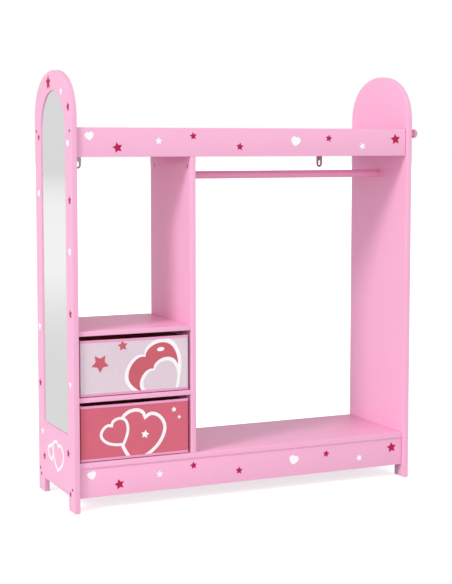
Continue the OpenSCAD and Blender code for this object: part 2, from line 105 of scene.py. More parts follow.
class DRESSUP_PG_sizes(bpy.types.PropertyGroup):
    board_ease: length("Board edges", "Width of the eased edges on the boards", 1.1)
    rail_end_ease: length("Rail end edges", "Width of the eased ends of the front rails", 1.3)
    rail_joint: length("Rail joint", "Open joint between a front rail and a panel", 0.8)
    arch_height: length("Arch height", "Height of a side panel's arch", 116.0)
    shoulder_radius: length("Arch shoulders", "Radius of the arch's two shoulders", 106.0)
    foot_width: length("Foot width", "Width of each foot of the side panels", 46.0)
    foot_height: length("Foot height", "Height of the cut-out between the feet", 37.0)
    print_height: length("Print height", "How far a print stands on the paint", 0.12)
    outline_width: length("Outline width", "Line width of the side panel's hearts", 7.2)
    mirror_bevel: length("Mirror bevel", "Width of the ground edge of the mirror", 1.0)
    rail_chamfer: length("Rail end", "Rounding at the ends of the clothes rail", 1.0)
    box_corner: length("Box corner", "Radius of the upright corners of a box", 1.6)
    box_foot: length("Box foot", "Radius of the lower edges of a box", 0.9)
    box_grid: length("Box grid", "Spacing of the cuts that let a box drape", 9.5)
    box_bow: length("Box bow", "How far a wall of a box bulges", 1.3)
    box_sag: length("Box sag", "How far an upper edge of a box sags", 0.5)
    box_foot_rise: length("Box foot rise", "How far the foot of a box's walls lifts", 2.4)
    box_ripple: length("Box ripple", "Height of the ripples in a box's cloth", 0.5)
    stitch_pitch: length("Stitch pitch", "Distance between two stitches", 3.6)
    stitch_length: length("Stitch length", "Length of one stitch", 2.4)
    stitch_width: length("Stitch width", "Thickness of the thread", 0.5)


class DRESSUP_PG_colours(bpy.types.PropertyGroup):
    board: colour("Board", "Pink paint of the boards", 0.888, 0.446, 0.645)
    rail: colour("Rail", "Pink paint of the clothes rail and the pegs", 0.880, 0.385, 0.600)
    print_white: colour("White print", "White stars and hearts", 0.93, 0.93, 0.94)
    print_red: colour("Red print", "Red stars", 0.47, 0.012, 0.078)
    pale_cloth: colour("Pale cloth", "Cloth of the upper box", 0.725, 0.602, 0.674)
    rose_cloth: colour("Rose cloth", "Cloth of the lower box and both linings", 0.645, 0.124, 0.185)
    rose_print: colour("Rose print", "Rose print on the pale cloth", 0.58, 0.105, 0.145)
    cloth_white: colour("White cloth print", "White print on cloth", 0.92, 0.90, 0.92)
    binding: colour("Binding", "Pink binding tape", 0.87, 0.36, 0.59)
    thread: colour("Thread", "Thread of the stitches", 0.66, 0.20, 0.40)
    steel: colour("Steel", "Plated steel of the wall straps", 0.48, 0.40, 0.43)
    dark_steel: colour("Dark steel", "Steel of the screws", 0.24, 0.19, 0.22)
    lacquer: colour("Lacquer", "Pink lacquer on the cam locks", 0.62, 0.29, 0.43)
    foam: colour("Foam", "Foam tape behind the mirror", 0.85, 0.85, 0.82)
    card: colour("Card", "Boards in the boxes' walls", 0.46, 0.35, 0.22)
    mirror: colour("Mirror", "Silvering behind the glass", 0.90, 0.91, 0.905)
    floor: colour("Floor", "Pale floor", 0.80, 0.80, 0.80)


class DRESSUP_PG_stage(bpy.types.PropertyGroup):
    camera_turn: angle("Camera turn", "Heading, from +Y towards +X", 24.408)
    camera_drop: angle("Camera drop", "Tilt below the horizon", 5.313)
    camera_place: FloatVectorProperty(name="Camera place", description="Where the camera is",
                                      default=(-1.5227, -3.3096, 0.8898), size=3,
                                      subtype="TRANSLATION", unit="LENGTH")
    focal_mm: number("Focal length", "Lens, in millimetres", 86.296, 1.0)
    shift_up: number("Shift", "How far the frame is shifted up", -0.0299, -1.0)
    key_strength: number("Key light", "Strength of the key light", 1.34)
    key_width: angle("Key width", "Angle that the key light fills", 13.0)
    key_from: FloatVectorProperty(name="Key from", description="Direction towards the key light",
                                  default=(-1.0, -0.426, 0.652), size=3, subtype="DIRECTION")
    fill_around: number("Fill around", "Strength of the light around", 0.525)
    fill_front: number("Fill front", "More light from the camera's side", 0.86)


# ---- Small helpers ------------------------------------------------------------------------

WELD = 1e-6                  # doubles in a new piece are merged within this
NODE_WELD = 2e-6             # and those in a copied construction node within this
FLAT = math.radians(0.5)     # faces of a node that meet flatter than this are one
QUARTER_TURN = math.radians(90)


def sizes():
    return bpy.context.scene.dressup_sizes


def colours():
    return bpy.context.scene.dressup_colours


def pick(*objects):
    """Selects only these objects, the last one active."""
    bpy.ops.object.select_all(action="DESELECT")
    for piece in objects:
        piece.select_set(True)
    bpy.context.view_layer.objects.active = objects[-1]


@contextmanager
def editing(piece, elements="EDGE", everything=False):
    """Edit mode on one piece, with nothing or everything selected."""
    pick(piece)
    bpy.ops.object.mode_set(mode="EDIT")
    bpy.ops.mesh.select_mode(type=elements)
    bpy.ops.mesh.select_all(action="SELECT" if everything else "DESELECT")
    yield
    bpy.ops.object.mode_set(mode="OBJECT")


def select_where(piece, elements, test, what):
    """Selects the vertices, edges or faces that pass a test, of which there must be some."""
    mesh = bmesh.from_edit_mesh(piece.data)
    found = [e for e in getattr(mesh, elements) if test(e)]
    if not found:
        raise RuntimeError("nothing was found to select: " + what)
    for element in found:
        element.select_set(True)
    bmesh.update_edit_mesh(piece.data)


def bevel(width, segments=2):
    """Rounds the selected edges."""
    bpy.ops.mesh.bevel(offset=width, segments=segments, profile=0.5, affect="EDGES",
                       clamp_overlap=True)


def bevel_where(piece, width, test, what, segments=2):
    """Rounds the edges of a piece that pass a test."""
    with editing(piece):
        select_where(piece, "edges", test, what)
        bevel(width, segments)


def extrude(x, y, z):
    """Draws the selected faces out."""
    bpy.ops.mesh.extrude_region_move(TRANSFORM_OT_translate={"value": (x, y, z)})


def added(name):
    """The object that the last add operator made, named and placed in its mesh."""
    piece = bpy.context.object
    piece.name = name
    piece.data.name = name
    bpy.ops.object.transform_apply(location=True, rotation=True, scale=True)
    return piece


def block(name, low, high):
    """A cube between two corners, to be shaped further."""
    bpy.ops.object.select_all(action="DESELECT")
    low, high = Vector(low), Vector(high)
    bpy.ops.mesh.primitive_cube_add(size=1.0, location=(low + high) / 2, scale=high - low)
    return added(name)


def disc(name, sides, radius=0.5, **place):
    """A flat filled circle, to be shaped further."""
    bpy.ops.object.select_all(action="DESELECT")
    bpy.ops.mesh.primitive_circle_add(vertices=sides, radius=radius, fill_type="NGON", **place)
    return added(name)


def copy_of(piece, name):
    """A copy of a piece with its own mesh."""
    twin = bpy.data.objects.new(name, piece.data.copy())
    bpy.context.scene.collection.objects.link(twin)
    return twin


def node_copy(node, name):
    """A copy of a construction node's mesh with its loose triangles joined up."""
    piece = copy_of(frame["nodes"][node], name)
    piece.data.materials.clear()
    pick(piece)
    bpy.ops.mesh.customdata_custom_splitnormals_clear()
    with editing(piece, everything=True):
        bpy.ops.mesh.remove_doubles(threshold=NODE_WELD)
        bpy.ops.mesh.dissolve_limited(angle_limit=FLAT)
    return piece


def joined(name, pieces):
    """All these pieces as one object."""
    pick(*pieces)
    bpy.ops.object.join()
    whole = bpy.context.object
    whole.name = name
    whole.data.name = name
    return whole


def outward(piece):
    """Joins doubles and turns every face outwards."""
    with editing(piece, everything=True):
        bpy.ops.mesh.remove_doubles(threshold=WELD)
        bpy.ops.mesh.normals_make_consistent(inside=False)


def turn_to(direction):
    """The turn that takes the X axis to a direction."""
    return Vector((1, 0, 0)).rotation_difference(direction).to_matrix().to_4x4()


def apply_modifier(piece, kind, **settings):
    pick(piece)
    bpy.ops.object.modifier_add(type=kind)
    modifier = piece.modifiers[-1]
    for key, value in settings.items():
        setattr(modifier, key, value)
    bpy.ops.object.modifier_apply(modifier=modifier.name)


def smooth(piece, degrees=35.0):
    """Smooth shading, but for edges sharper than an angle."""
    pick(piece)
    bpy.ops.object.shade_smooth_by_angle(angle=math.radians(degrees))


def finish(piece, body, slot, coat=None, *replaces):
    """Gives a piece its material and its body and hides the nodes it stands for; the record slot is
    not used.
    """
    if coat:
        piece.data.materials.append(material(coat))
    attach(piece, body)
    if replaces:
        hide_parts(*replaces)


# ---- Shader nodes and films ---------------------------------------------------------------

class Nodes:
    """Adds and links nodes in one tree."""

    def __init__(self, tree):
        self.tree = tree

    def feed(self, node, inputs):
        """Gives each input of a node its value, or its link from another node."""
        for key, value in inputs.items():
            if isinstance(value, bpy.types.NodeSocket):
                self.tree.links.new(value, node.inputs[key])
            else:
                node.inputs[key].default_value = value

    def add(self, kind, inputs=None, **settings):
        node = self.tree.nodes.new("ShaderNode" + kind)
        for key, value in settings.items():
            setattr(node, key, value)
        self.feed(node, inputs or {})
        return node

    def noise(self, place, scale, detail=2.0, roughness=0.5):
        """Soft noise from 0 to 1; the scale is in waves per metre."""
        return self.add("TexNoise", {"Vector": place, "Scale": scale, "Detail": detail,
                                     "Roughness": roughness}).outputs["Fac"]

    def stretched(self, place, *scale):
        """Places scaled along X, Y and Z."""
        return self.add("Mapping", {"Vector": place, "Scale": scale}).outputs["Vector"]

    def math(self, operation, first, second):
        return self.add("Math", {0: first, 1: second}, operation=operation).outputs[0]

    def round_zero(self, value):
        """Takes 0 to 1 to -0.5 to 0.5."""
        return self.math("SUBTRACT", value, 0.5)

    def spread(self, value, low, high):
        """Takes 0 to 1 to low to high."""
        node = self.add("MapRange", {"Value": value, "To Min": low, "To Max": high})
        return node.outputs["Result"]

    def step(self, value, inputs):
        """A smooth step between the given ends."""
        node = self.add("MapRange", {"Value": value, **inputs}, interpolation_type="SMOOTHSTEP")
        return node.outputs["Result"]

    def shade(self, colour_socket, factor):
        """A colour made lighter or darker by a factor round 1."""
        node = self.add("VectorMath", {0: colour_socket, "Scale": factor}, operation="SCALE")
        return node.outputs["Vector"]

    def flecked(self, colour_socket, tone, amount):
        """A colour made lighter or darker by an amount of a tone round 0."""
        return self.shade(colour_socket, self.math("ADD", self.math("MULTIPLY", tone, amount), 1.0))

    def bump(self, height, rise_mm):
        node = self.add("Bump", {"Strength": 1.0, "Distance": rise_mm * MM, "Height": height})
        return node.outputs["Normal"]

    def mix(self, factor, first, second):
        """The first shader where the factor is 0, and the second where it is 1."""
        return self.add("MixShader", {"Fac": factor, 1: first, 2: second}).outputs[0]


def paint_film(n, place, given):
    """Sprayed paint on board: faint clouds in the colour, a fine peel and uneven gloss."""
    clouds = n.round_zero(n.noise(place, scale=9.0, detail=3.0))
    specks = n.round_zero(n.noise(place, scale=850.0, detail=1.0))
    tone = n.math("ADD", clouds, n.math("MULTIPLY", specks, 0.5))
    rub = n.spread(n.noise(place, scale=40.0, detail=4.0), -0.06, 0.06)
    peel = n.math("MULTIPLY", n.noise(place, scale=420.0), given["Peel"])
    return (n.flecked(given["Colour"], tone, given["Clouds"]),
            n.math("ADD", given["Gloss"], rub), n.bump(peel, rise_mm=0.06))


def bonded_cloth(n, place, given):
    """Nonwoven cloth: matted fibres pressed down in a close pattern of small dots."""
    dots = n.add("TexVoronoi", {"Vector": place, "Scale": given["Dots per metre"],
                                "Randomness": 0.12}, feature="F1")
    pressed = n.step(dots.outputs["Distance"], {"From Min": 0.18, "From Max": 0.42})
    fibres = n.noise(n.stretched(place, 1.0, 1.0, 0.35), scale=1900.0, detail=3.0,
                     roughness=0.7)
    patches = n.noise(place, scale=55.0, detail=3.0)
    tone = n.math("ADD", n.round_zero(fibres), n.round_zero(patches))
    tone = n.math("ADD", tone, n.spread(pressed, -0.5, 0.1))
    height = n.math("ADD", n.math("MULTIPLY", fibres, 0.35), pressed)
    return (n.flecked(given["Colour"], tone, given["Fleck"]), n.spread(pressed, 0.62, 0.88),
            n.bump(height, rise_mm=0.09))


def metal_film(n, place, given):
    """Plating: fine flow lines and a slightly cloudy shine."""
    lines = n.noise(n.stretched(place, 1.0, 1.0, 0.06), scale=2600.0)
    clouds = n.noise(place, scale=260.0, detail=3.0)
    rub = n.math("ADD", n.spread(clouds, -0.08, 0.08), n.spread(lines, -0.05, 0.05))
    return (n.shade(given["Colour"], n.spread(clouds, 0.86, 1.10)),
            n.math("ADD", given["Roughness"], rub), n.bump(lines, rise_mm=0.02))


def woven_tape(n, place, given):
    """Woven tape: fine ribs across its width, painted shade in the grooves between them and a soft
    sheen.
    """
    ribs = []
    for axis in "XYZ":
        wave = n.add("TexWave", {"Vector": place, "Scale": 330.0, "Distortion": 0.4},
                     wave_type="BANDS", bands_direction=axis)
        ribs.append(wave.outputs["Fac"])
    height = n.math("MULTIPLY", n.math("ADD", ribs[0], ribs[1]), ribs[2])
    # the colour follows the ribs' height: painted shade, darker in the low grooves of the weave
    tone = n.math("ADD", n.spread(height, 0.90, 1.04),
                  n.spread(n.noise(place, scale=70.0, detail=3.0), -0.03, 0.03))
    return (n.shade(given["Colour"], tone), n.spread(height, 0.55, 0.75),
            n.bump(height, rise_mm=0.08))


def silvering(n, place, given):
    """A mirror sheet: a clear silver face with the faintest waviness."""
    return (n.shade(given["Colour"], n.spread(n.noise(place, scale=5.0), 0.99, 1.01)),
            n.spread(n.noise(place, scale=30.0, detail=4.0), 0.015, 0.035),
            n.bump(n.noise(place, scale=3.0), rise_mm=0.01))


GRAIN_DARK, GRAIN_LIGHT = (0.36, 0.20, 0.09), (0.62, 0.42, 0.23)


def beech_grain(n, place, _):
    """Plain beech: long grain with short dark flecks."""
    grain = n.noise(n.stretched(place, 0.12, 1.0, 1.0), scale=700.0, detail=4.0, roughness=0.6)
    ramp = n.add("ValToRGB", {"Fac": grain})
    for stop, position, shade in zip(ramp.color_ramp.elements, (0.30, 0.55),
                                     (GRAIN_DARK, GRAIN_LIGHT)):
        stop.color = (*shade, 1.0)
        stop.position = position
    return ramp.outputs["Color"], n.spread(grain, 0.65, 0.5), n.bump(grain, rise_mm=0.05)


# What draws each film, and the numbers that it takes besides its colour
FILMS = {
    "paint_film": (paint_film, {"Clouds": 0.02, "Gloss": 0.4, "Peel": 1.0}),
    "bonded_cloth": (bonded_cloth, {"Dots per metre": 640.0, "Fleck": 0.06}),
    "metal_film": (metal_film, {"Roughness": 0.35}),
    "woven_tape": (woven_tape, {}),
    "silvering": (silvering, {}),
    "beech_grain": (beech_grain, {}),
}
FILM_OUTPUTS = (("Colour", "Color"), ("Roughness", "Float"), ("Normal", "Vector"))


def film(name):
    """The shared node group of a film, built the first time that it is asked for."""
    found = bpy.data.node_groups.get(name)
    if found:
        return found
    draw, numbers = FILMS[name]
    group = bpy.data.node_groups.new(name, "ShaderNodeTree")

    def socket(label, kind, side):
        return group.interface.new_socket(name=label, in_out=side,
                                          socket_type="NodeSocket" + kind)

    socket("Colour", "Color", "INPUT").default_value = (1, 1, 1, 1)
    for label, default in numbers.items():
        socket(label, "Float", "INPUT").default_value = default
    for label, kind in FILM_OUTPUTS:
        socket(label, kind, "OUTPUT")
    n = Nodes(group)
    given = group.nodes.new("NodeGroupInput").outputs
    drawn = draw(n, n.add("TexCoord").outputs["Object"], given)
    n.feed(group.nodes.new("NodeGroupOutput"),
           {label: value for (label, _), value in zip(FILM_OUTPUTS, drawn)})
    return group


# ---- Materials ----------------------------------------------------------------------------

CLOTH = {"Sheen Weight": 0.12, "Sheen Roughness": 0.6, "IOR": 1.4}
METAL = {"Metallic": 1.0}
# Each material: its film, its colour, the film's numbers and the shader's own values
FINISHES = {
    "board_paint": ("paint_film", "board", {}, {"IOR": 1.46, "Specular IOR Level": 0.28}),
    "rail_paint": ("paint_film", "rail", {"Gloss": 0.34, "Peel": 0.7}, {"IOR": 1.48}),
    "white_ink": ("paint_film", "print_white", {"Gloss": 0.5}, {}),
    "red_ink": ("paint_film", "print_red", {"Gloss": 0.5, "Clouds": 0.06},
                {"Specular IOR Level": 0.15}),
    "pale_cloth": ("bonded_cloth", "pale_cloth", {}, CLOTH),
    "rose_cloth": ("bonded_cloth", "rose_cloth", {"Fleck": 0.09}, CLOTH),
    "white_cloth_print": ("bonded_cloth", "cloth_white", {"Fleck": 0.04}, CLOTH),
    "upper_box_rose_print": ("bonded_cloth", "rose_print", {"Fleck": 0.09}, CLOTH),
    "lower_box_rose_print": ("bonded_cloth", "rose_cloth", {"Fleck": 0.09}, CLOTH),
    "thread": ("bonded_cloth", "thread", {"Fleck": 0.2}, {}),
    "soft_foam": ("bonded_cloth", "foam", {"Dots per metre": 1500.0}, {}),
    "grey_card": ("bonded_cloth", "card", {"Dots per metre": 300.0, "Fleck": 0.15}, {}),
    "zinc_plate": ("metal_film", "steel", {}, METAL),
    "dark_steel": ("metal_film", "dark_steel", {}, METAL),
    "pink_lacquer": ("metal_film", "lacquer", {}, METAL),
    "binding_tape": ("woven_tape", "binding", {}, {"Sheen Weight": 0.15}),
    "silvered_glass": ("silvering", "mirror", {}, METAL),
    "beech_wood": ("beech_grain", None, {}, {}),
}


def material(name):
    """One of the finishes above, built the first time that it is asked for."""
    found = bpy.data.materials.get(name)
    if found:
        return found
    film_name, shade, numbers, shader_values = FINISHES[name]
    fresh = bpy.data.materials.new(name)
    fresh.use_nodes = True
    n = Nodes(fresh.node_tree)
    coat = n.add("Group", node_tree=film(film_name))
    if shade:
        fresh.diffuse_color = (*getattr(colours(), shade), 1.0)
        n.feed(coat, {"Colour": (*getattr(colours(), shade), 1.0)})
    n.feed(coat, numbers)
    n.feed(fresh.node_tree.nodes["Principled BSDF"],
           {"Base Color": coat.outputs["Colour"], "Roughness": coat.outputs["Roughness"],
            "Normal": coat.outputs["Normal"], **shader_values})
    return fresh


# Which finish the construction nodes of each record slot get
SLOT_FINISHES = {
    "painted_board": "board_paint", "painted_rail": "rail_paint", "painted_peg": "rail_paint",
    "mirror": "silvered_glass", "foam_tape": "soft_foam", "plated_steel": "zinc_plate",
    "beech": "beech_wood", "cardboard": "grey_card", "pale_fabric": "pale_cloth",
    "rose_fabric": "rose_cloth", "pink_binding": "binding_tape",
}


def dress_nodes():
    """Gives every construction node the finish of its record slot."""
    for part in frame["record"]["subparts"]:
        node = frame["nodes"][part["node"]]
        node.data.materials.clear()
        node.data.materials.append(material(SLOT_FINISHES[part["material_slot"]]))


# ---- Boards -------------------------------------------------------------------------------

OUTER_EDGE = math.radians(40)    # an outer edge of a board is at least this sharp
RIM_REACH = 0.3 * MM             # and on a side panel it is this near the outline
END_EDGE = 10 * MM               # an upright edge at a rail's end is longer than this


def on_planes(point, low, high, reach=SAME_PLACE):
    """How many of a box's planes a point lies on."""
    return sum(min(abs(point[i] - low[i]), abs(point[i] - high[i])) < reach for i in range(3))


def arch_rim_distance(y, z):
    """How far a point lies from the arch: two round shoulders and a flatter crown."""
    shoulder, half = sizes().shoulder_radius, PANEL_D / 2
    rise = sizes().arch_height
    crown = (half ** 2 + rise ** 2 - PANEL_D * shoulder) / (2 * (rise - shoulder))
    springline, crown_z = PANEL_HIGH.z - rise, PANEL_HIGH.z - crown
    across = abs(y - half)
    if across * (springline - crown_z) < (half - shoulder) * (z - crown_z):
        return abs(crown - math.hypot(across, z - crown_z))
    return abs(shoulder - math.hypot(across - half + shoulder, z - springline))


def panel_rim_distance(point):
    """How far a point of a side panel lies from the panel's outline, seen from the side."""
    y, z = point.y - PANEL_LOW.y, point.z
    foot_w, foot_h = sizes().foot_width, sizes().foot_height
    if z > PANEL_HIGH.z - sizes().arch_height:
        return arch_rim_distance(y, z)
    sides = min(y, PANEL_D - y)
    if z > foot_h + MM:
        return sides
    inner = min(abs(y - foot_w), abs(PANEL_D - foot_w - y))
    roof = abs(z - foot_h) if foot_w - MM < y < PANEL_D - foot_w + MM else 1.0
    return min(sides, inner, roof, z)


def is_board_edge(edge, low, high, is_panel):
    """An outer edge of a board, and not the rim of a hole or of the mirror's recess."""
    if len(edge.link_faces) != 2 or edge.calc_face_angle(0.0) < OUTER_EDGE:
        return False
    ends = [v.co for v in edge.verts]
    if not is_panel:
        corner = 1.1 * sizes().rail_end_ease
        return all(on_planes(p, low, high) >= 2 or on_planes(p, low, high, corner) == 3
                   for p in ends)
    on_face = all(min(abs(p.x - low.x), abs(p.x - high.x)) < SAME_PLACE for p in ends)
    crosses = abs(ends[0].x - ends[1].x) > MM
    near_rim = all(panel_rim_distance(p) < RIM_REACH for p in ends + [sum(ends, Vector()) / 2])
    return near_rim and (on_face or crosses)


def is_front_end(edge, low, high):
    """One of the two upright edges at the front of a rail's ends."""
    a, b = [v.co for v in edge.verts]
    return (abs(a.z - b.z) > END_EDGE and abs(a.y - low.y) + abs(b.y - low.y) < SAME_PLACE
            and min(a.x - low.x, high.x - a.x) < SAME_PLACE)


def part_from_panels(rail, low, high):
    """Draws a front rail's ends in from the panels, rounds them and returns its new corners."""
    joint = Vector((sizes().rail_joint, 0, 0))
    for end, step in ((low.x, joint), (high.x, -joint)):
        with editing(rail, "VERT"):
            select_where(rail, "verts", lambda v: abs(v.co.x - end) < SAME_PLACE,
                         "end of " + rail.name)
            bpy.ops.transform.translate(value=step)
    low, high = low + joint, high - joint
    bevel_where(rail, sizes().rail_end_ease, lambda e: is_front_end(e, low, high),
                "front end edges of " + rail.name, segments=4)
    return low, high


def eased_board(node):
    """A board of the unit with its outer edges eased, as the paint leaves them."""
    piece = node_copy(node, node + "_painted")
    low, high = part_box(node)
    is_panel = node.startswith("side_panel")
    if node in ("top_front_rail", "base_front_rail"):
        low, high = part_from_panels(piece, low, high)
    bevel_where(piece, sizes().board_ease, lambda e: is_board_edge(e, low, high, is_panel),
                "outer edges of " + node, segments=3)
    smooth(piece)
    finish(piece, "frame", "painted_board", "board_paint", node)


class DRESSUP_OT_boards(bpy.types.Operator):
    """Makes the painted boards with eased edges"""
    bl_idname = "dressup.boards"
    bl_label = "Painted boards"

    def execute(self, context):
        for node in BOARDS:
            eased_board(node)
        return {"FINISHED"}


# ---- Prints: stars and hearts -------------------------------------------------------------

# A heart across X from -0.5 to 0.5: each corner's place, then the handles before and after
HEART_CORNERS = (
    ((-0.50, 0.14), (-0.50, -0.14), (-0.50, 0.38)),
    ((0.00, 0.34), (-0.11, 0.50), (0.11, 0.50)),
    ((0.50, 0.14), (0.50, 0.38), (0.50, -0.14)),
    ((0.00, -0.48), (0.25, -0.34), (-0.25, -0.34)),
)
HEART_STEPS = 10             # pieces of line between two corners of a heart
STAR_POINTS = 5
STAR_INNER = 0.52            # inner radius of a star, as a share of its outer radius
DOT_SIDES = 28
PRINT_FOOT_MM = 0.05         # how deep a print starts under its surface
PRINT_STEP_MM = 0.06         # how far each print stands over the one below

# How a figure's own plane stands on the unit: its X, Y and Z axes in the unit's directions
FACING_FRONT = Matrix(((1, 0, 0), (0, 0, -1), (0, 1, 0))).to_4x4()
FACING_LEFT = Matrix(((0, 0, -1), (-1, 0, 0), (0, 1, 0))).to_4x4()


def flat_heart(name):
    """A filled heart, 1 across, in the XY plane."""
    bpy.ops.object.select_all(action="DESELECT")
    bpy.ops.curve.primitive_bezier_circle_add(radius=0.5)
    curve = bpy.context.object
    curve.data.resolution_u = HEART_STEPS
    for point, corner in zip(curve.data.splines[0].bezier_points, HEART_CORNERS):
        point.handle_left_type = point.handle_right_type = "FREE"
        point.co, point.handle_left, point.handle_right = [Vector((*p, 0.0)) for p in corner]
    bpy.ops.object.convert(target="MESH")
    heart = added(name)
    with editing(heart, everything=True):
        bpy.ops.mesh.remove_doubles(threshold=SAME_PLACE)
        bpy.ops.mesh.edge_face_add()
    return heart


def flat_star(name):
    """A filled star with five points, 1 across, in the XY plane."""
    star = disc(name, 2 * STAR_POINTS)
    with editing(star, "VERT"):
        mesh = bmesh.from_edit_mesh(star.data)
        for vertex in list(mesh.verts)[1::2]:
            vertex.select_set(True)
        bmesh.update_edit_mesh(star.data)
        bpy.ops.transform.resize(value=(STAR_INNER,) * 3, center_override=(0, 0, 0))
    return star


def line_only(piece, width):
    """Leaves only a line of this width along a flat figure's edge."""
    with editing(piece, "FACE", everything=True):
        bpy.ops.mesh.inset(thickness=width, use_even_offset=True)
        bpy.ops.mesh.delete(type="FACE")


def thicken(piece, low, high):
    """Turns a flat figure into a thin slab from low to high over its plane."""
    piece.data.transform(Matrix.Translation((0, 0, low)))
    with editing(piece, "FACE", everything=True):
        extrude(0, 0, high - low)
    outward(piece)


class Figures:
    """Stamps copies of one star, one heart and one dot, each modelled once."""

    def __init__(self):
        self.patterns = {"star": flat_star("star_pattern"), "heart": flat_heart("heart_pattern"),
                         "dot": disc("dot_pattern", DOT_SIDES)}

    def stamp(self, kind, at, across_mm, facing, ink, high, turn=0.0, tall=1.0, line_mm=0.0):
        """A figure on a face: its middle and width, its height over the face and its turn."""
        piece = copy_of(self.patterns[kind], kind)
        across = across_mm * MM
        piece.data.transform(Matrix.Diagonal((across, across * tall, across, 1.0)))
        if line_mm:
            line_only(piece, line_mm * MM)
        thicken(piece, -PRINT_FOOT_MM * MM, high)
        turned_so = Matrix.Rotation(math.radians(turn), 4, "Z")
        piece.data.transform(Matrix.Translation(at) @ facing @ turned_so)
        piece.data.materials.append(material(ink))
        return piece

    def clear(self):
        for pattern in self.patterns.values():
            bpy.data.objects.remove(pattern)


# Figure, place along X, width, height of its middle on the top rail and on the base rail,
# and turn. Lengths in millimetres
RAIL_FIGURES = (
    ("heart", 47, 23, 910, 90, 12), ("red star", 118, 27, 882, 61, 12),
    ("star", 224, 19, 898, 76, 0), ("red star", 315, 20, 910, 89, 8),
    ("red star", 441, 21, 884, 64, -6), ("heart", 597, 27, 898, 77, -14),
    ("red star", 692, 20, 905, 84, -10), ("star", 791, 19, 885, 64, 20),
    ("red star", 890, 30, 903, 83, 6),
)
# Figure, place from the front edge, height, width and turn on the left panel's outer face
PANEL_FIGURES = (
    ("red star", 177, 1041, 39, 0), ("heart", 76, 1016, 17, 0), ("red star", 23, 978, 25, 15),
    ("red star", 262, 907, 20, 0), ("heart", 29, 892, 19, -8), ("heart", 266, 766, 20, 10),
    ("red star", 17, 757, 24, 0), ("heart", 21, 634, 20, 8), ("red star", 20, 485, 24, 12),
    ("heart", 272, 426, 20, -6), ("heart", 27, 312, 16, 0), ("red star", 272, 281, 23, 0),
    ("heart", 257, 157, 17, 8), ("red star", 47, 141, 24, -8), ("red star", 244, 95, 23, 10),
    ("red star", 273, 43, 13, 0), ("red star", 32, 43, 17, 0),
)
# Two line hearts near the foot of the left panel: place, height, width and turn
PANEL_HEARTS = ((188, 117, 54, 20), (130, 117, 93, -8))
PANEL_HEART_TALL = 0.93      # how tall they are drawn, as a share of the plain heart
# The pattern and the ink that a figure's word names
FIGURE_WORDS = {"red star": ("star", "red_ink"), "star": ("star", "white_ink"),
                "heart": ("heart", "white_ink")}


class DRESSUP_OT_board_prints(bpy.types.Operator):
    """Prints the stars and hearts on the rails and on the left panel"""
    bl_idname = "dressup.board_prints"
    bl_label = "Prints on the boards"

    def execute(self, context):
        figures = Figures()
        high = sizes().print_height
        for rail, column in (("top_front_rail", 3), ("base_front_rail", 4)):
            front_mm = (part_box(rail)[0].y - PANEL_LOW.y) / MM
            stamps = []
            for entry in RAIL_FIGURES:
                word, x_mm, across_mm, turn = entry[0], entry[1], entry[2], entry[5]
                kind, ink = FIGURE_WORDS[word]
                at = unit_point(x_mm, front_mm, entry[column])
                stamps.append(figures.stamp(kind, at, across_mm, FACING_FRONT, ink, high, turn))
            finish(joined(rail + "_prints", stamps), "frame", "painted_board")
        stamps = []
        for word, y_mm, z_mm, across_mm, turn in PANEL_FIGURES:
            kind, ink = FIGURE_WORDS[word]
            at = unit_point(0, y_mm, z_mm)
            stamps.append(figures.stamp(kind, at, across_mm, FACING_LEFT, ink, high, turn))
        for layer, (y_mm, z_mm, across_mm, turn) in enumerate(PANEL_HEARTS):
            at, raised = unit_point(0, y_mm, z_mm), high + layer * PRINT_STEP_MM * MM
            stamps.append(figures.stamp("heart", at, across_mm, FACING_LEFT, "white_ink", raised,
                                        turn, PANEL_HEART_TALL, sizes().outline_width / MM))
        finish(joined("side_panel_left_prints", stamps), "frame", "painted_board")
        figures.clear()
        return {"FINISHED"}


# ---- Mirror, clothes rail and pegs --------------------------------------------------------

MIRROR_EDGE = 0.5            # the mirror's outline is sharper than this, in radians
RAIL_SIDES, PEG_SIDES = 64, 48
PEG_HEAD_MM = 13.0
PEG_NECK_R_MM = 6.5
PEG_EDGE_MM = 2.0            # rounding of the head's edge next to the panel
PEG_DOME_MM = 9.5            # rounding of the head's outer end
PEG_COVE_MM = 0.7            # hollow where the neck meets the head


class DRESSUP_OT_mirror(bpy.types.Operator):
    """Makes the mirror sheet with its ground edge"""
    bl_idname = "dressup.mirror"
    bl_label = "Mirror"

    def execute(self, context):
        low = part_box("mirror_sheet")[0]
        piece = node_copy("mirror_sheet", "mirror_glass")
        bevel_where(piece, sizes().mirror_bevel,
                    lambda e: all(abs(v.co.x - low.x) < SAME_PLACE for v in e.verts)
                    and e.calc_face_angle(0.0) > MIRROR_EDGE, "front edge of the mirror")
        smooth(piece, degrees=20.0)
        finish(piece, "frame", "mirror", "silvered_glass", "mirror_sheet")
        return {"FINISHED"}


def turned(name, start, stations, sides):
    """A solid turned round the X axis: a disc drawn out through (x, radius) stations."""
    first_x, first_radius = stations[0]
    piece = disc(name, sides, first_radius, location=start + Vector((first_x, 0, 0)),
                 rotation=(0, QUARTER_TURN, 0))
    with editing(piece, "FACE", everything=True):
        for (x, radius), (next_x, next_radius) in zip(stations, stations[1:]):
            extrude(next_x - x, 0, 0)
            factor = next_radius / radius
            bpy.ops.transform.resize(value=(1, factor, factor),
                                     center_override=start + Vector((next_x, 0, 0)))
    outward(piece)
    return piece


def quarter(x, radius, reach, direction, steps=5):
    """Stations round an edge: rising after x (direction 1), or falling up to x (-1)."""
    rise = []
    for i in range(steps + 1):
        turn = QUARTER_TURN * i / steps
        rise.append((x + direction * reach * (1 - math.cos(turn)),
                     radius - reach * (1 - math.sin(turn))))
    return rise if direction > 0 else rise[::-1]


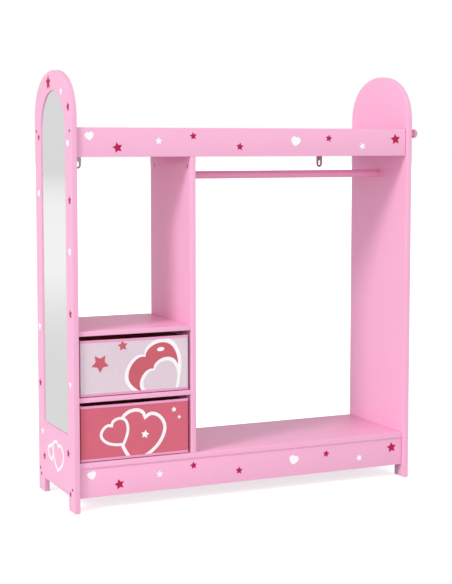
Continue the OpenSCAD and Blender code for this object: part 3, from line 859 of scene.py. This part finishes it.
def round_node(node):
    """Where a round node along X starts, how long it is and its radius."""
    low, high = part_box(node)
    start = Vector((low.x, (low.y + high.y) / 2, (low.z + high.z) / 2))
    return start, high.x - low.x, (high.z - low.z) / 2


class DRESSUP_OT_clothes_rail(bpy.types.Operator):
    """Makes the round clothes rail"""
    bl_idname = "dressup.clothes_rail"
    bl_label = "Clothes rail"

    def execute(self, context):
        start, span, radius = round_node("clothes_rail")
        reach = sizes().rail_chamfer
        stations = quarter(0.0, radius, reach, 1) + quarter(span, radius, reach, -1)
        piece = turned("clothes_rail_round", start, stations, RAIL_SIDES)
        smooth(piece)
        finish(piece, "frame", "painted_rail", "rail_paint", "clothes_rail")
        return {"FINISHED"}


def peg_stations(reach, head_r):
    """From the panel out: straight neck, a small hollow, then the rounded head."""
    neck, head = PEG_NECK_R_MM * MM, PEG_HEAD_MM * MM
    edge, dome, cove = PEG_EDGE_MM * MM, PEG_DOME_MM * MM, PEG_COVE_MM * MM
    shoulder = reach - head
    stations = [(0.0, neck), (shoulder - cove, neck), (shoulder - 0.4 * cove, neck + 0.1 * MM),
                (shoulder, neck + 0.3 * cove)]
    stations += quarter(shoulder, head_r, edge, 1, steps=8)[1:]
    stations += quarter(reach, head_r, dome, -1, steps=10)
    return stations + [(reach, (head_r - dome) / 2)]


class DRESSUP_OT_pegs(bpy.types.Operator):
    """Makes the two turned pegs on the right panel"""
    bl_idname = "dressup.pegs"
    bl_label = "Pegs"

    def execute(self, context):
        for node in ("peg_front", "peg_rear"):
            start, reach, head_r = round_node(node)
            piece = turned(node + "_turned", start, peg_stations(reach, head_r), PEG_SIDES)
            smooth(piece, degrees=50.0)
            finish(piece, "frame", "painted_peg", "rail_paint", node)
        return {"FINISHED"}


# ---- Wall straps and fasteners ------------------------------------------------------------

SHARP = math.radians(50)     # edges of metal pieces that are eased
FACE_REACH = 0.01 * MM       # how near the panels' outer faces a screw head's rim lies
FASTENER_SIDES = 32
STRAP_EASE_MM = 0.35
SCREW_HEAD_EASE_MM = 0.3


def is_sharp(edge):
    return len(edge.link_faces) == 2 and edge.calc_face_angle(0.0) > SHARP


class DRESSUP_OT_wall_straps(bpy.types.Operator):
    """Makes the two wall straps with eased edges"""
    bl_idname = "dressup.wall_straps"
    bl_label = "Wall straps"

    def execute(self, context):
        for node in ("wall_strap_left", "wall_strap_right"):
            piece = node_copy(node, node + "_pressed")
            bevel_where(piece, STRAP_EASE_MM * MM, is_sharp, "edges of " + node)
            smooth(piece)
            finish(piece, "frame", "plated_steel", "zinc_plate", node)
        return {"FINISHED"}


def loose_boxes(node):
    """The lowest and highest corners of each solid in a construction node, in order."""
    whole = node_copy(node, node + "_solids")
    pick(whole)
    bpy.ops.mesh.separate(type="LOOSE")
    corners = []
    for part in list(bpy.context.selected_objects):
        places = [v.co for v in part.data.vertices]
        low = Vector([min(p[i] for p in places) for i in range(3)])
        high = Vector([max(p[i] for p in places) for i in range(3)])
        corners.append((low, high))
        bpy.data.objects.remove(part)
    return sorted(corners, key=lambda pair: tuple(pair[0]))


def cross_cut(piece, reach, width, depth):
    """Cuts a cross recess into the face of a fastener that looks along -X from the origin."""
    for half_y, half_z in ((reach, width), (width, reach)):
        bar = block("cross_bar", (-MM, -half_y, -half_z), (depth, half_y, half_z))
        apply_modifier(piece, "BOOLEAN", operation="DIFFERENCE", solver="EXACT", object=bar)
        bpy.data.objects.remove(bar)


def fastener(name, stations, recess):
    """A turned fastener along +X from the origin, with a cross recess in its face."""
    stations = [(x * MM, radius * MM) for x, radius in stations]
    piece = turned(name, Vector(), stations, FASTENER_SIDES)
    cross_cut(piece, *[value * MM for value in recess])
    smooth(piece, degrees=30.0)
    return piece


# Each node's fastener: its finish, which axis it lies along, from which end its face looks,
# its outline as (depth, radius) from the face on, and its recess as half length, half width
# and depth. Lengths in millimetres
FASTENERS = {
    "peg_screws": ("dark_steel", 0, "low", ((0.0, 3.2), (0.25, 3.7), (2.0, 3.7), (2.0, 2.0),
                                            (31.5, 2.0), (33.5, 0.5)), (1.9, 0.5, 1.4)),
    "strap_screws": ("dark_steel", 1, "high", ((0.0, 1.6), (0.25, 2.6), (0.8, 3.35), (1.5, 3.75),
                                               (2.0, 3.75), (2.0, 2.0), (12.0, 2.0),
                                               (14.0, 0.5)), (1.9, 0.5, 1.4)),
    "divider_screws": ("dark_steel", 2, "low", ((0.0, 3.6), (0.3, 3.95), (3.0, 3.95), (3.0, 2.5),
                                                (42.0, 2.5), (45.0, 0.6)), (2.2, 0.6, 2.0)),
    "cam_locks": ("pink_lacquer", 2, "low", ((0.0, 5.4), (0.35, 5.95), (2.4, 5.95), (2.6, 5.6),
                                             (9.4, 5.6), (9.9, 5.0)), (3.6, 0.75, 2.2)),
}


def fasteners_of(node):
    """Copies of one fastener, set into the places of a construction node's solids."""
    coat, axis, end, stations, recess = FASTENERS[node]
    pattern = fastener(node + "_pattern", stations, recess)
    copies = []
    for low, high in loose_boxes(node):
        along, spans = axis, high - low
        if node == "cam_locks" and spans.x < spans.z:
            along = 0
        face = (low + high) / 2
        face[along] = low[along] if end == "low" else high[along]
        into = Vector()
        into[along] = 1.0 if end == "low" else -1.0
        one = copy_of(pattern, node + "_one")
        one.data.transform(Matrix.Translation(face) @ turn_to(into))
        copies.append(one)
    bpy.data.objects.remove(pattern)
    finish(joined(node + "_recessed", copies), "frame", "plated_steel", coat, node)


class DRESSUP_OT_fasteners(bpy.types.Operator):
    """Makes the screws and cam locks with their recesses"""
    bl_idname = "dressup.fasteners"
    bl_label = "Screws and cam locks"

    def execute(self, context):
        for node in FASTENERS:
            fasteners_of(node)
        heads = node_copy("connecting_screws", "connecting_screws_eased")
        low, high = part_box("connecting_screws")
        bevel_where(heads, SCREW_HEAD_EASE_MM * MM, lambda e: is_sharp(e) and all(
            min(v.co.x - low.x, high.x - v.co.x) < FACE_REACH for v in e.verts),
                    "rims of the screw heads")
        smooth(heads)
        finish(heads, "frame", "plated_steel", "dark_steel", "connecting_screws")
        return {"FINISHED"}


# ---- Fabric boxes -------------------------------------------------------------------------

TAPE_MM = 0.6                # thickness of the binding tape
CLOTH_MM = 1.0               # thickness of the outer cloth
LINING_MM = 0.8              # thickness of the lining
FOLD_MM = 5.0                # thickness of a bound wall, tape on both sides
FOLD_EASE_MM = 0.45          # rounding of the tape's fold
PLATE_CORNER_MM = 1.6        # rounding of the corners of the boards in a box
TIGHTEST_CORNER_MM = 0.5
CORNER_SEGMENTS = 3
LEVEL = 0.01 * MM            # how far a level face or an upright edge may be off
LEVEL_NORMAL = 0.99          # least upward share of a level face's normal
RIM_EDGE = 1.0               # a box's rims are sharper than this, in radians
IN_CORNER = 0.02 * MM        # a corner's edge lies as deep along X as along Y, within this
SAME_DEPTH_MM = 0.06         # corner edges whose depths differ less are rounded alike
OUTER_DEPTH = 0.1 * MM       # a board's own corner edges lie less deep than this
STITCH_SEGMENTS, STITCH_RINGS = 6, 5
STITCH_INSET_MM = 1.4        # how far a row of stitches lies inside the tape's edge

RIPPLES_PER_METRE = 17.0
RIPPLE_LIFT = 0.3            # how far a rim lifts with the ripples, as a share of them
BOW_AT_FOOT = 0.25           # how much of a wall's bow there is at its foot
BOW_TURN = 0.6 * math.pi     # how far along a sine the bow runs from foot to rim
FOOT_RISE_IN_MM = 9.0        # how far in from the walls the foot's rise runs out
FOOT_RISE_UP_MM = 8.0        # and how far up


def corner_depth(edge, low, high):
    """How deep an upright edge lies in a box's corner, or None if it isn't a corner's."""
    a, b = [v.co for v in edge.verts]
    if abs(a.z - b.z) < MM or abs(a.x - b.x) + abs(a.y - b.y) > LEVEL:
        return None
    deep_x, deep_y = min(a.x - low.x, high.x - a.x), min(a.y - low.y, high.y - a.y)
    return deep_x if abs(deep_x - deep_y) < IN_CORNER else None


def round_corners(piece, low, high):
    """Rounds the upright corner edges, the deeper in the box the tighter."""
    with editing(piece):
        mesh = bmesh.from_edit_mesh(piece.data)
        depths = {corner_depth(e, low, high) for e in mesh.edges} - {None}
        for depth in sorted({round(d / MM, 1) for d in depths}):
            bpy.ops.mesh.select_all(action="DESELECT")

            def at_depth(edge):
                found = corner_depth(edge, low, high)
                return found is not None and abs(found / MM - depth) < SAME_DEPTH_MM

            select_where(piece, "edges", at_depth, "upright edges of " + piece.name)
            bevel(max(sizes().box_corner - depth * MM, TIGHTEST_CORNER_MM * MM), CORNER_SEGMENTS)


def round_rim(piece, height, width):
    """Rounds the edges round a piece that lie level at a height."""
    bevel_where(piece, width, lambda e: e.calc_face_angle(0.0) > RIM_EDGE
                and all(abs(v.co.z - height) < LEVEL for v in e.verts), "rim of " + piece.name)


def slice_up(piece, low, high):
    """Cuts a piece across all three axes, so that it can be draped."""
    with editing(piece, "FACE"):
        for axis in range(3):
            normal = [0, 0, 0]
            normal[axis] = 1
            cuts = int(round((high[axis] - low[axis]) / sizes().box_grid))
            for i in range(1, cuts):
                place = Vector(low)
                place[axis] = low[axis] + (high[axis] - low[axis]) * i / cuts
                bpy.ops.mesh.select_all(action="SELECT")
                bpy.ops.mesh.bisect(plane_co=place, plane_no=normal)


def wall_up(piece, box, thickness):
    """Cuts a surface up for draping and gives it its thickness, inwards."""
    slice_up(piece, *box)
    apply_modifier(piece, "SOLIDIFY", thickness=thickness, offset=-1.0, use_even_offset=True)
    return piece


def level_faces(piece, height):
    """Selects the faces that lie level at a height."""
    select_where(piece, "faces", lambda f: abs(f.normal.z) > LEVEL_NORMAL
                 and abs(f.calc_center_median().z - height) < LEVEL, "end of " + piece.name)


def open_shell(name, low, high, box, thickness, with_floor=True):
    """A thin-walled tub or band between two corners, with its wall inside its outline."""
    piece = block(name, low, high)
    round_corners(piece, *box)
    with editing(piece, "FACE"):
        level_faces(piece, high.z)
        if not with_floor:
            level_faces(piece, low.z)
        bpy.ops.mesh.delete(type="FACE")
    if with_floor:
        round_rim(piece, low.z, sizes().box_foot)
    return wall_up(piece, box, thickness)


def folded_tape(name, low, high, box):
    """Binding tape folded over the upper edge of a box, as a channel open below."""
    piece = block(name, low, high)
    with editing(piece, "FACE"):
        level_faces(piece, high.z)
        bpy.ops.mesh.inset(thickness=FOLD_MM * MM)
        extrude(0, 0, low.z - high.z)
        bpy.ops.mesh.delete(type="FACE")
        level_faces(piece, low.z)
        bpy.ops.mesh.delete(type="FACE")
    round_corners(piece, *box)
    round_rim(piece, high.z, FOLD_EASE_MM * MM)
    return wall_up(piece, box, TAPE_MM * MM)


def box_plates(node, name, box):
    """The stiffeners or the bottom board of a box, with eased corners and cut for draping."""
    piece = node_copy(node, name)
    low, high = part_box(node)

    def is_outer_corner(edge):
        depth = corner_depth(edge, low, high)
        return depth is not None and depth < OUTER_DEPTH

    bevel_where(piece, PLATE_CORNER_MM * MM, is_outer_corner, "corners of " + node)
    slice_up(piece, *box)
    return piece


def stitch_pattern():
    """One stitch: a short flattened bead along X."""
    s = sizes()
    bpy.ops.object.select_all(action="DESELECT")
    bpy.ops.mesh.primitive_uv_sphere_add(segments=STITCH_SEGMENTS, ring_count=STITCH_RINGS,
                                         radius=0.5, rotation=(0, QUARTER_TURN, 0))
    piece = added("stitch_pattern")
    piece.data.transform(Matrix.Diagonal((s.stitch_length, s.stitch_width, s.stitch_width, 1)))
    return piece


def stitch_row(pattern, start, end):
    """Stitches in a straight row between two places."""
    run = end - start
    count = int(run.length / sizes().stitch_pitch)
    row = copy_of(pattern, "stitch_row")
    apply_modifier(row, "ARRAY", count=count, use_relative_offset=False,
                   use_constant_offset=True,
                   constant_offset_displace=(run.length / count, 0, 0))
    lead = run * (0.5 / count)
    row.data.transform(Matrix.Translation(start + lead) @ turn_to(run))
    return row


def stitches(name, low, high, heights, inner_height, wall):
    """Rows of stitches round the outside of a box, and one round its inside."""
    pattern = stitch_pattern()
    margin = sizes().box_corner
    rows = []
    for height, deep in [(h, 0.0) for h in heights] + [(inner_height, wall)]:
        left, right = low.x + deep, high.x - deep
        front, back = low.y + deep, high.y - deep
        for y in (front, back):
            rows.append(stitch_row(pattern, Vector((left + margin, y, height)),
                                   Vector((right - margin, y, height))))
        for x in (left, right):
            rows.append(stitch_row(pattern, Vector((x, front + margin, height)),
                                   Vector((x, back - margin, height))))
    bpy.data.objects.remove(pattern)
    return joined(name, rows)


def drape(piece, low, high):
    """Bows a box's walls, lets its upper edges sag and ripples it, alike in every layer."""
    middle, half = (low + high) / 2, (high - low) / 2
    s = sizes()
    for vertex in piece.data.vertices:
        co = vertex.co
        across = max(-1.0, min(1.0, (co.x - middle.x) / half.x))
        along = max(-1.0, min(1.0, (co.y - middle.y) / half.y))
        up = max(0.0, (co.z - low.z) / (high.z - low.z))
        free_x, free_y = math.cos(along * math.pi / 2), math.cos(across * math.pi / 2)
        bulge = s.box_bow * (BOW_AT_FOOT + (1 - BOW_AT_FOOT) * math.sin(up * BOW_TURN))
        ripple = s.box_ripple * noise.noise(co * RIPPLES_PER_METRE)
        sag = s.box_sag * up ** 3 * (free_x * across ** 4 + free_y * along ** 4)
        lift = RIPPLE_LIFT * s.box_ripple * up * noise.noise(co * 2 * RIPPLES_PER_METRE)
        rim = max(0.0, 1.0 - min(half.x - abs(co.x - middle.x), half.y - abs(co.y - middle.y))
                  / (FOOT_RISE_IN_MM * MM))
        low_down = max(0.0, 1.0 - (co.z - low.z) / (FOOT_RISE_UP_MM * MM))
        foot = s.box_foot_rise * min(rim, 1.0) * low_down
        vertex.co = co + Vector((across * free_x * (bulge + ripple),
                                 along * free_y * (bulge + ripple), lift * up - sag + foot))


def box_span(box):
    """A box's lowest and highest corners, at its two bindings."""
    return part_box(box + "_bottom_binding")[0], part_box(box + "_top_binding")[1]


def box_layers(box):
    """Every cloth, tape and board layer of one box, still straight."""
    part = {key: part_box(box + "_" + key) for key in
            ("fabric", "lining", "top_binding", "bottom_binding")}
    whole = box_span(box)
    layers = {
        "fabric": open_shell(box + "_cloth", *part["fabric"], whole, CLOTH_MM * MM),
        "lining": open_shell(box + "_inner_cloth", *part["lining"], whole, LINING_MM * MM),
        "top_binding": folded_tape(box + "_top_tape", *part["top_binding"], whole),
        "bottom_binding": open_shell(box + "_bottom_tape", *part["bottom_binding"], whole,
                                     TAPE_MM * MM, with_floor=False),
        "stiffeners": box_plates(box + "_stiffeners", box + "_wall_boards", whole),
        "bottom_board": box_plates(box + "_bottom_board", box + "_floor_board", whole),
    }
    top, foot = part["top_binding"][0].z, part["bottom_binding"][1].z
    rows = (top + STITCH_INSET_MM * MM, foot - STITCH_INSET_MM * MM)
    layers["stitches"] = stitches(box + "_stitches", *whole, rows, rows[0], FOLD_MM * MM)
    return layers


# Each layer's slot and finish; the outer cloth and its prints have their box's own
LAYER_FINISHES = {
    "lining": ("rose_fabric", "rose_cloth"), "bottom_board": ("rose_fabric", "rose_cloth"),
    "top_binding": ("pink_binding", "binding_tape"),
    "bottom_binding": ("pink_binding", "binding_tape"),
    "stiffeners": ("cardboard", "grey_card"), "stitches": ("pink_binding", "thread"),
}
BOX_CLOTHS = {"upper_box": ("pale_fabric", "pale_cloth"),
              "lower_box": ("rose_fabric", "rose_cloth")}


class DRESSUP_OT_boxes(bpy.types.Operator):
    """Makes the two pull-out fabric boxes, layer by layer"""
    bl_idname = "dressup.boxes"
    bl_label = "Fabric boxes"

    def execute(self, context):
        straight = box_layers("upper_box")
        low, high = box_span("upper_box")
        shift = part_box("lower_box_fabric")[0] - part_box("upper_box_fabric")[0]
        for box, move in zip(BOXES, (Vector(), shift)):
            for key, pattern in straight.items():
                piece = copy_of(pattern, pattern.name.replace("upper_box", box))
                piece.data.transform(Matrix.Translation(move))
                drape(piece, low + move, high + move)
                smooth(piece, degrees=40.0)
                slot, coat = LAYER_FINISHES.get(key, BOX_CLOTHS[box])
                nodes = [] if key == "stitches" else [box + "_" + key]
                finish(piece, box, slot, coat, *nodes)
        for pattern in straight.values():
            bpy.data.objects.remove(pattern)
        return {"FINISHED"}


# Prints on a box's front, from the lowest layer up: figure, ink, place along X and height,
# width and turn, and for some also how much taller than wide it is drawn and its line width.
# Lengths in millimetres
BOX_FIGURES = {
    "upper_box": (
        ("star", "rose", 70, 363, 47, 180), ("star", "rose", 128, 403, 27, 6),
        ("heart", "white", 217, 335, 160, 38), ("heart", "rose", 216, 335, 140, 38),
        ("heart", "white", 232, 311, 114, 38), ("heart", "pale", 232, 311, 96, 38),
        ("dot", "white", 227, 389, 20, 6, 0.5),
    ),
    "lower_box": (
        ("heart", "white", 173, 179, 128, -16, 1.2, 8.5), ("heart", "rose", 110, 189, 74, 32),
        ("heart", "white", 110, 189, 80, 32, 1.0, 7), ("star", "white", 262, 236, 15, 10),
        ("star", "white", 276, 216, 10, -8), ("star", "white", 185, 180, 22, -10),
    ),
}
FIRST_PRINT_STEPS = 2        # how many steps the lowest print stands over the cloth


def crop(piece, height, keep_above):
    """Cuts a piece off level at a height and closes the cut."""
    with editing(piece, "FACE", everything=True):
        bpy.ops.mesh.bisect(plane_co=(0, 0, height), plane_no=(0, 0, 1), use_fill=True,
                            clear_inner=keep_above, clear_outer=not keep_above)


class DRESSUP_OT_box_prints(bpy.types.Operator):
    """Prints the stars and hearts on the fronts of the boxes"""
    bl_idname = "dressup.box_prints"
    bl_label = "Prints on the boxes"

    def execute(self, context):
        figures = Figures()
        for box in BOXES:
            inks = {"white": "white_cloth_print", "rose": box + "_rose_print",
                    "pale": "pale_cloth"}
            low, high = box_span(box)
            foot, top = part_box(box + "_bottom_binding")[1].z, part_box(box + "_top_binding")[0].z
            front_mm = (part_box(box + "_fabric")[0].y - PANEL_LOW.y) / MM
            stamps = []
            for layer, entry in enumerate(BOX_FIGURES[box]):
                kind, ink, x_mm, z_mm, across_mm, *shape = entry
                at = unit_point(x_mm, front_mm, z_mm)
                raised = (FIRST_PRINT_STEPS + layer) * PRINT_STEP_MM * MM
                stamp = figures.stamp(kind, at, across_mm, FACING_FRONT, inks[ink], raised, *shape)
                crop(stamp, foot, True)
                crop(stamp, top, False)
                slice_up(stamp, low, high)
                stamps.append(stamp)
            prints = joined(box + "_prints", stamps)
            drape(prints, low, high)
            finish(prints, box, BOX_CLOTHS[box][0])
        figures.clear()
        return {"FINISHED"}


# ---- Stage --------------------------------------------------------------------------------

HORIZON_GREY = 0.75          # what a mirror sees from the horizon up
FLOOR_GREY = 0.75            # what a mirror sees of the floor near the unit and far away
FLOOR_SHEEN = 0.215          # how much brighter the ring of floor between the two is
FLOOR_RADIUS = 60.0
FLOOR_SIDES = 64
FLOOR_LIFT = 0.68            # how much white the eye sees on the floor over its own shade
SHEEN_RISE = (2.0, 7.0)      # distances, in metres, between which the floor's sheen rises
SHEEN_FALL = (9.0, 45.0)     # and between which it falls
KEY_PLACE = (-2.0, -2.4, 3.2)    # where the key light's sign stands; only its turn counts
SENSOR_MM = 36.0


def ray_kinds(n):
    """1 for rays from the camera or through glass, and 1 for rays from mirrors, else 0."""
    path = n.add("LightPath")
    seen = n.math("MAXIMUM", path.outputs["Is Camera Ray"], path.outputs["Is Transmission Ray"])
    return seen, path.outputs["Is Glossy Ray"]


def glow(n, kind, level, strength=1.0):
    """A background or an emission of one grey level."""
    shader = n.add(kind, {"Color": (level, level, level, 1.0), "Strength": strength})
    return shader.outputs[0]


def make_world(stage):
    """Light from all around, more from the front; white to the eye and grey to mirrors."""
    world = bpy.data.worlds.new("studio_white")
    world.use_nodes = True
    bpy.context.scene.world = world
    n = Nodes(world.node_tree)
    world.node_tree.nodes.clear()
    to_camera = (-math.sin(stage.camera_turn), -math.cos(stage.camera_turn), 0.0)
    facing = n.add("VectorMath", {0: n.add("TexCoord").outputs["Generated"], 1: to_camera},
                   operation="DOT_PRODUCT")
    front = n.math("MAXIMUM", facing.outputs["Value"], 0.0)
    strength = n.math("ADD", n.math("MULTIPLY", front, stage.fill_front), stage.fill_around)
    seen, mirrored = ray_kinds(n)
    unseen = n.mix(mirrored, glow(n, "Background", 1.0, strength),
                   glow(n, "Background", HORIZON_GREY))
    n.add("OutputWorld", {"Surface": n.mix(seen, unseen, glow(n, "Background", 1.0))})


def make_floor():
    """A pale floor that keeps the unit's shadow and looks white to the eye."""
    floor = disc("studio_floor", FLOOR_SIDES, FLOOR_RADIUS)
    pale = bpy.data.materials.new("pale_floor")
    pale.use_nodes = True
    n = Nodes(pale.node_tree)
    shader = pale.node_tree.nodes["Principled BSDF"]
    n.feed(shader, {"Base Color": (*colours().floor, 1.0), "Roughness": 0.9,
                    "Specular IOR Level": 0.0})
    reach = n.add("VectorMath", {0: n.add("TexCoord").outputs["Object"]}, operation="LENGTH")
    sheen = FLOOR_SHEEN
    for span, ends in ((SHEEN_RISE, (0.0, 1.0)), (SHEEN_FALL, (1.0, 0.0))):
        ring = n.step(reach.outputs["Value"],
                      dict(zip(("From Min", "From Max", "To Min", "To Max"), span + ends)))
        sheen = n.math("MULTIPLY", ring, sheen)
    seen, mirrored = ray_kinds(n)
    lift = glow(n, "Emission", 1.0, n.math("MULTIPLY", seen, FLOOR_LIFT))
    lit = n.add("AddShader", {0: shader.outputs[0], 1: lift}).outputs[0]
    reflected = glow(n, "Emission", 1.0, n.math("ADD", sheen, FLOOR_GREY))
    n.feed(pale.node_tree.nodes["Material Output"], {"Surface": n.mix(mirrored, lit, reflected)})
    floor.data.materials.append(pale)


def make_key(stage):
    """A broad sun from the front left."""
    bpy.ops.object.light_add(type="SUN", location=KEY_PLACE)
    key = bpy.context.object
    key.name = "key_light"
    key.data.energy = stage.key_strength
    key.data.angle = stage.key_width
    key.rotation_euler = Vector(stage.key_from).to_track_quat("Z", "Y").to_euler()


def make_camera(stage):
    """The camera at the photo's place."""
    bpy.ops.object.camera_add(
        location=stage.camera_place,
        rotation=(QUARTER_TURN - stage.camera_drop, 0.0, -stage.camera_turn))
    camera = bpy.context.object
    camera.name = "photo_camera"
    camera.data.lens = stage.focal_mm
    camera.data.sensor_width = SENSOR_MM
    camera.data.shift_y = stage.shift_up
    bpy.context.scene.camera = camera


class DRESSUP_OT_stage(bpy.types.Operator):
    """Sets the camera, the light and the floor"""
    bl_idname = "dressup.stage"
    bl_label = "Stage"

    def execute(self, context):
        stage = context.scene.dressup_stage
        make_world(stage)
        make_floor()
        make_key(stage)
        make_camera(stage)
        context.scene.view_settings.view_transform = "Standard"
        return {"FINISHED"}


# ---- Panel, registration and main ---------------------------------------------------------

OPERATORS = (
    DRESSUP_OT_boards, DRESSUP_OT_board_prints, DRESSUP_OT_mirror, DRESSUP_OT_clothes_rail,
    DRESSUP_OT_pegs, DRESSUP_OT_wall_straps, DRESSUP_OT_fasteners, DRESSUP_OT_boxes,
    DRESSUP_OT_box_prints, DRESSUP_OT_stage,
)


class DRESSUP_PT_panel(bpy.types.Panel):
    """Lists the operators of the dress up unit"""
    bl_idname = "DRESSUP_PT_panel"
    bl_label = "Dress up unit"
    bl_space_type = "VIEW_3D"
    bl_region_type = "UI"
    bl_category = "Dress up"

    def draw(self, context):
        for operator in OPERATORS:
            self.layout.operator(operator.bl_idname)


GROUPS = {"dressup_sizes": DRESSUP_PG_sizes, "dressup_colours": DRESSUP_PG_colours,
          "dressup_stage": DRESSUP_PG_stage}
CLASSES = (*GROUPS.values(), *OPERATORS, DRESSUP_PT_panel)


def register():
    for one in CLASSES:
        bpy.utils.register_class(one)
    for name, group in GROUPS.items():
        setattr(bpy.types.Scene, name, PointerProperty(type=group))


def unregister():
    for name in GROUPS:
        delattr(bpy.types.Scene, name)
    for one in reversed(CLASSES):
        bpy.utils.unregister_class(one)


def main():
    register()
    dress_nodes()
    bpy.ops.dressup.boards()
    bpy.ops.dressup.board_prints()
    bpy.ops.dressup.mirror()
    bpy.ops.dressup.clothes_rail()
    bpy.ops.dressup.pegs()
    bpy.ops.dressup.wall_straps()
    bpy.ops.dressup.fasteners()
    bpy.ops.dressup.boxes()
    bpy.ops.dressup.box_prints()
    bpy.ops.dressup.stage()


if __name__ == "__main__":
    main()
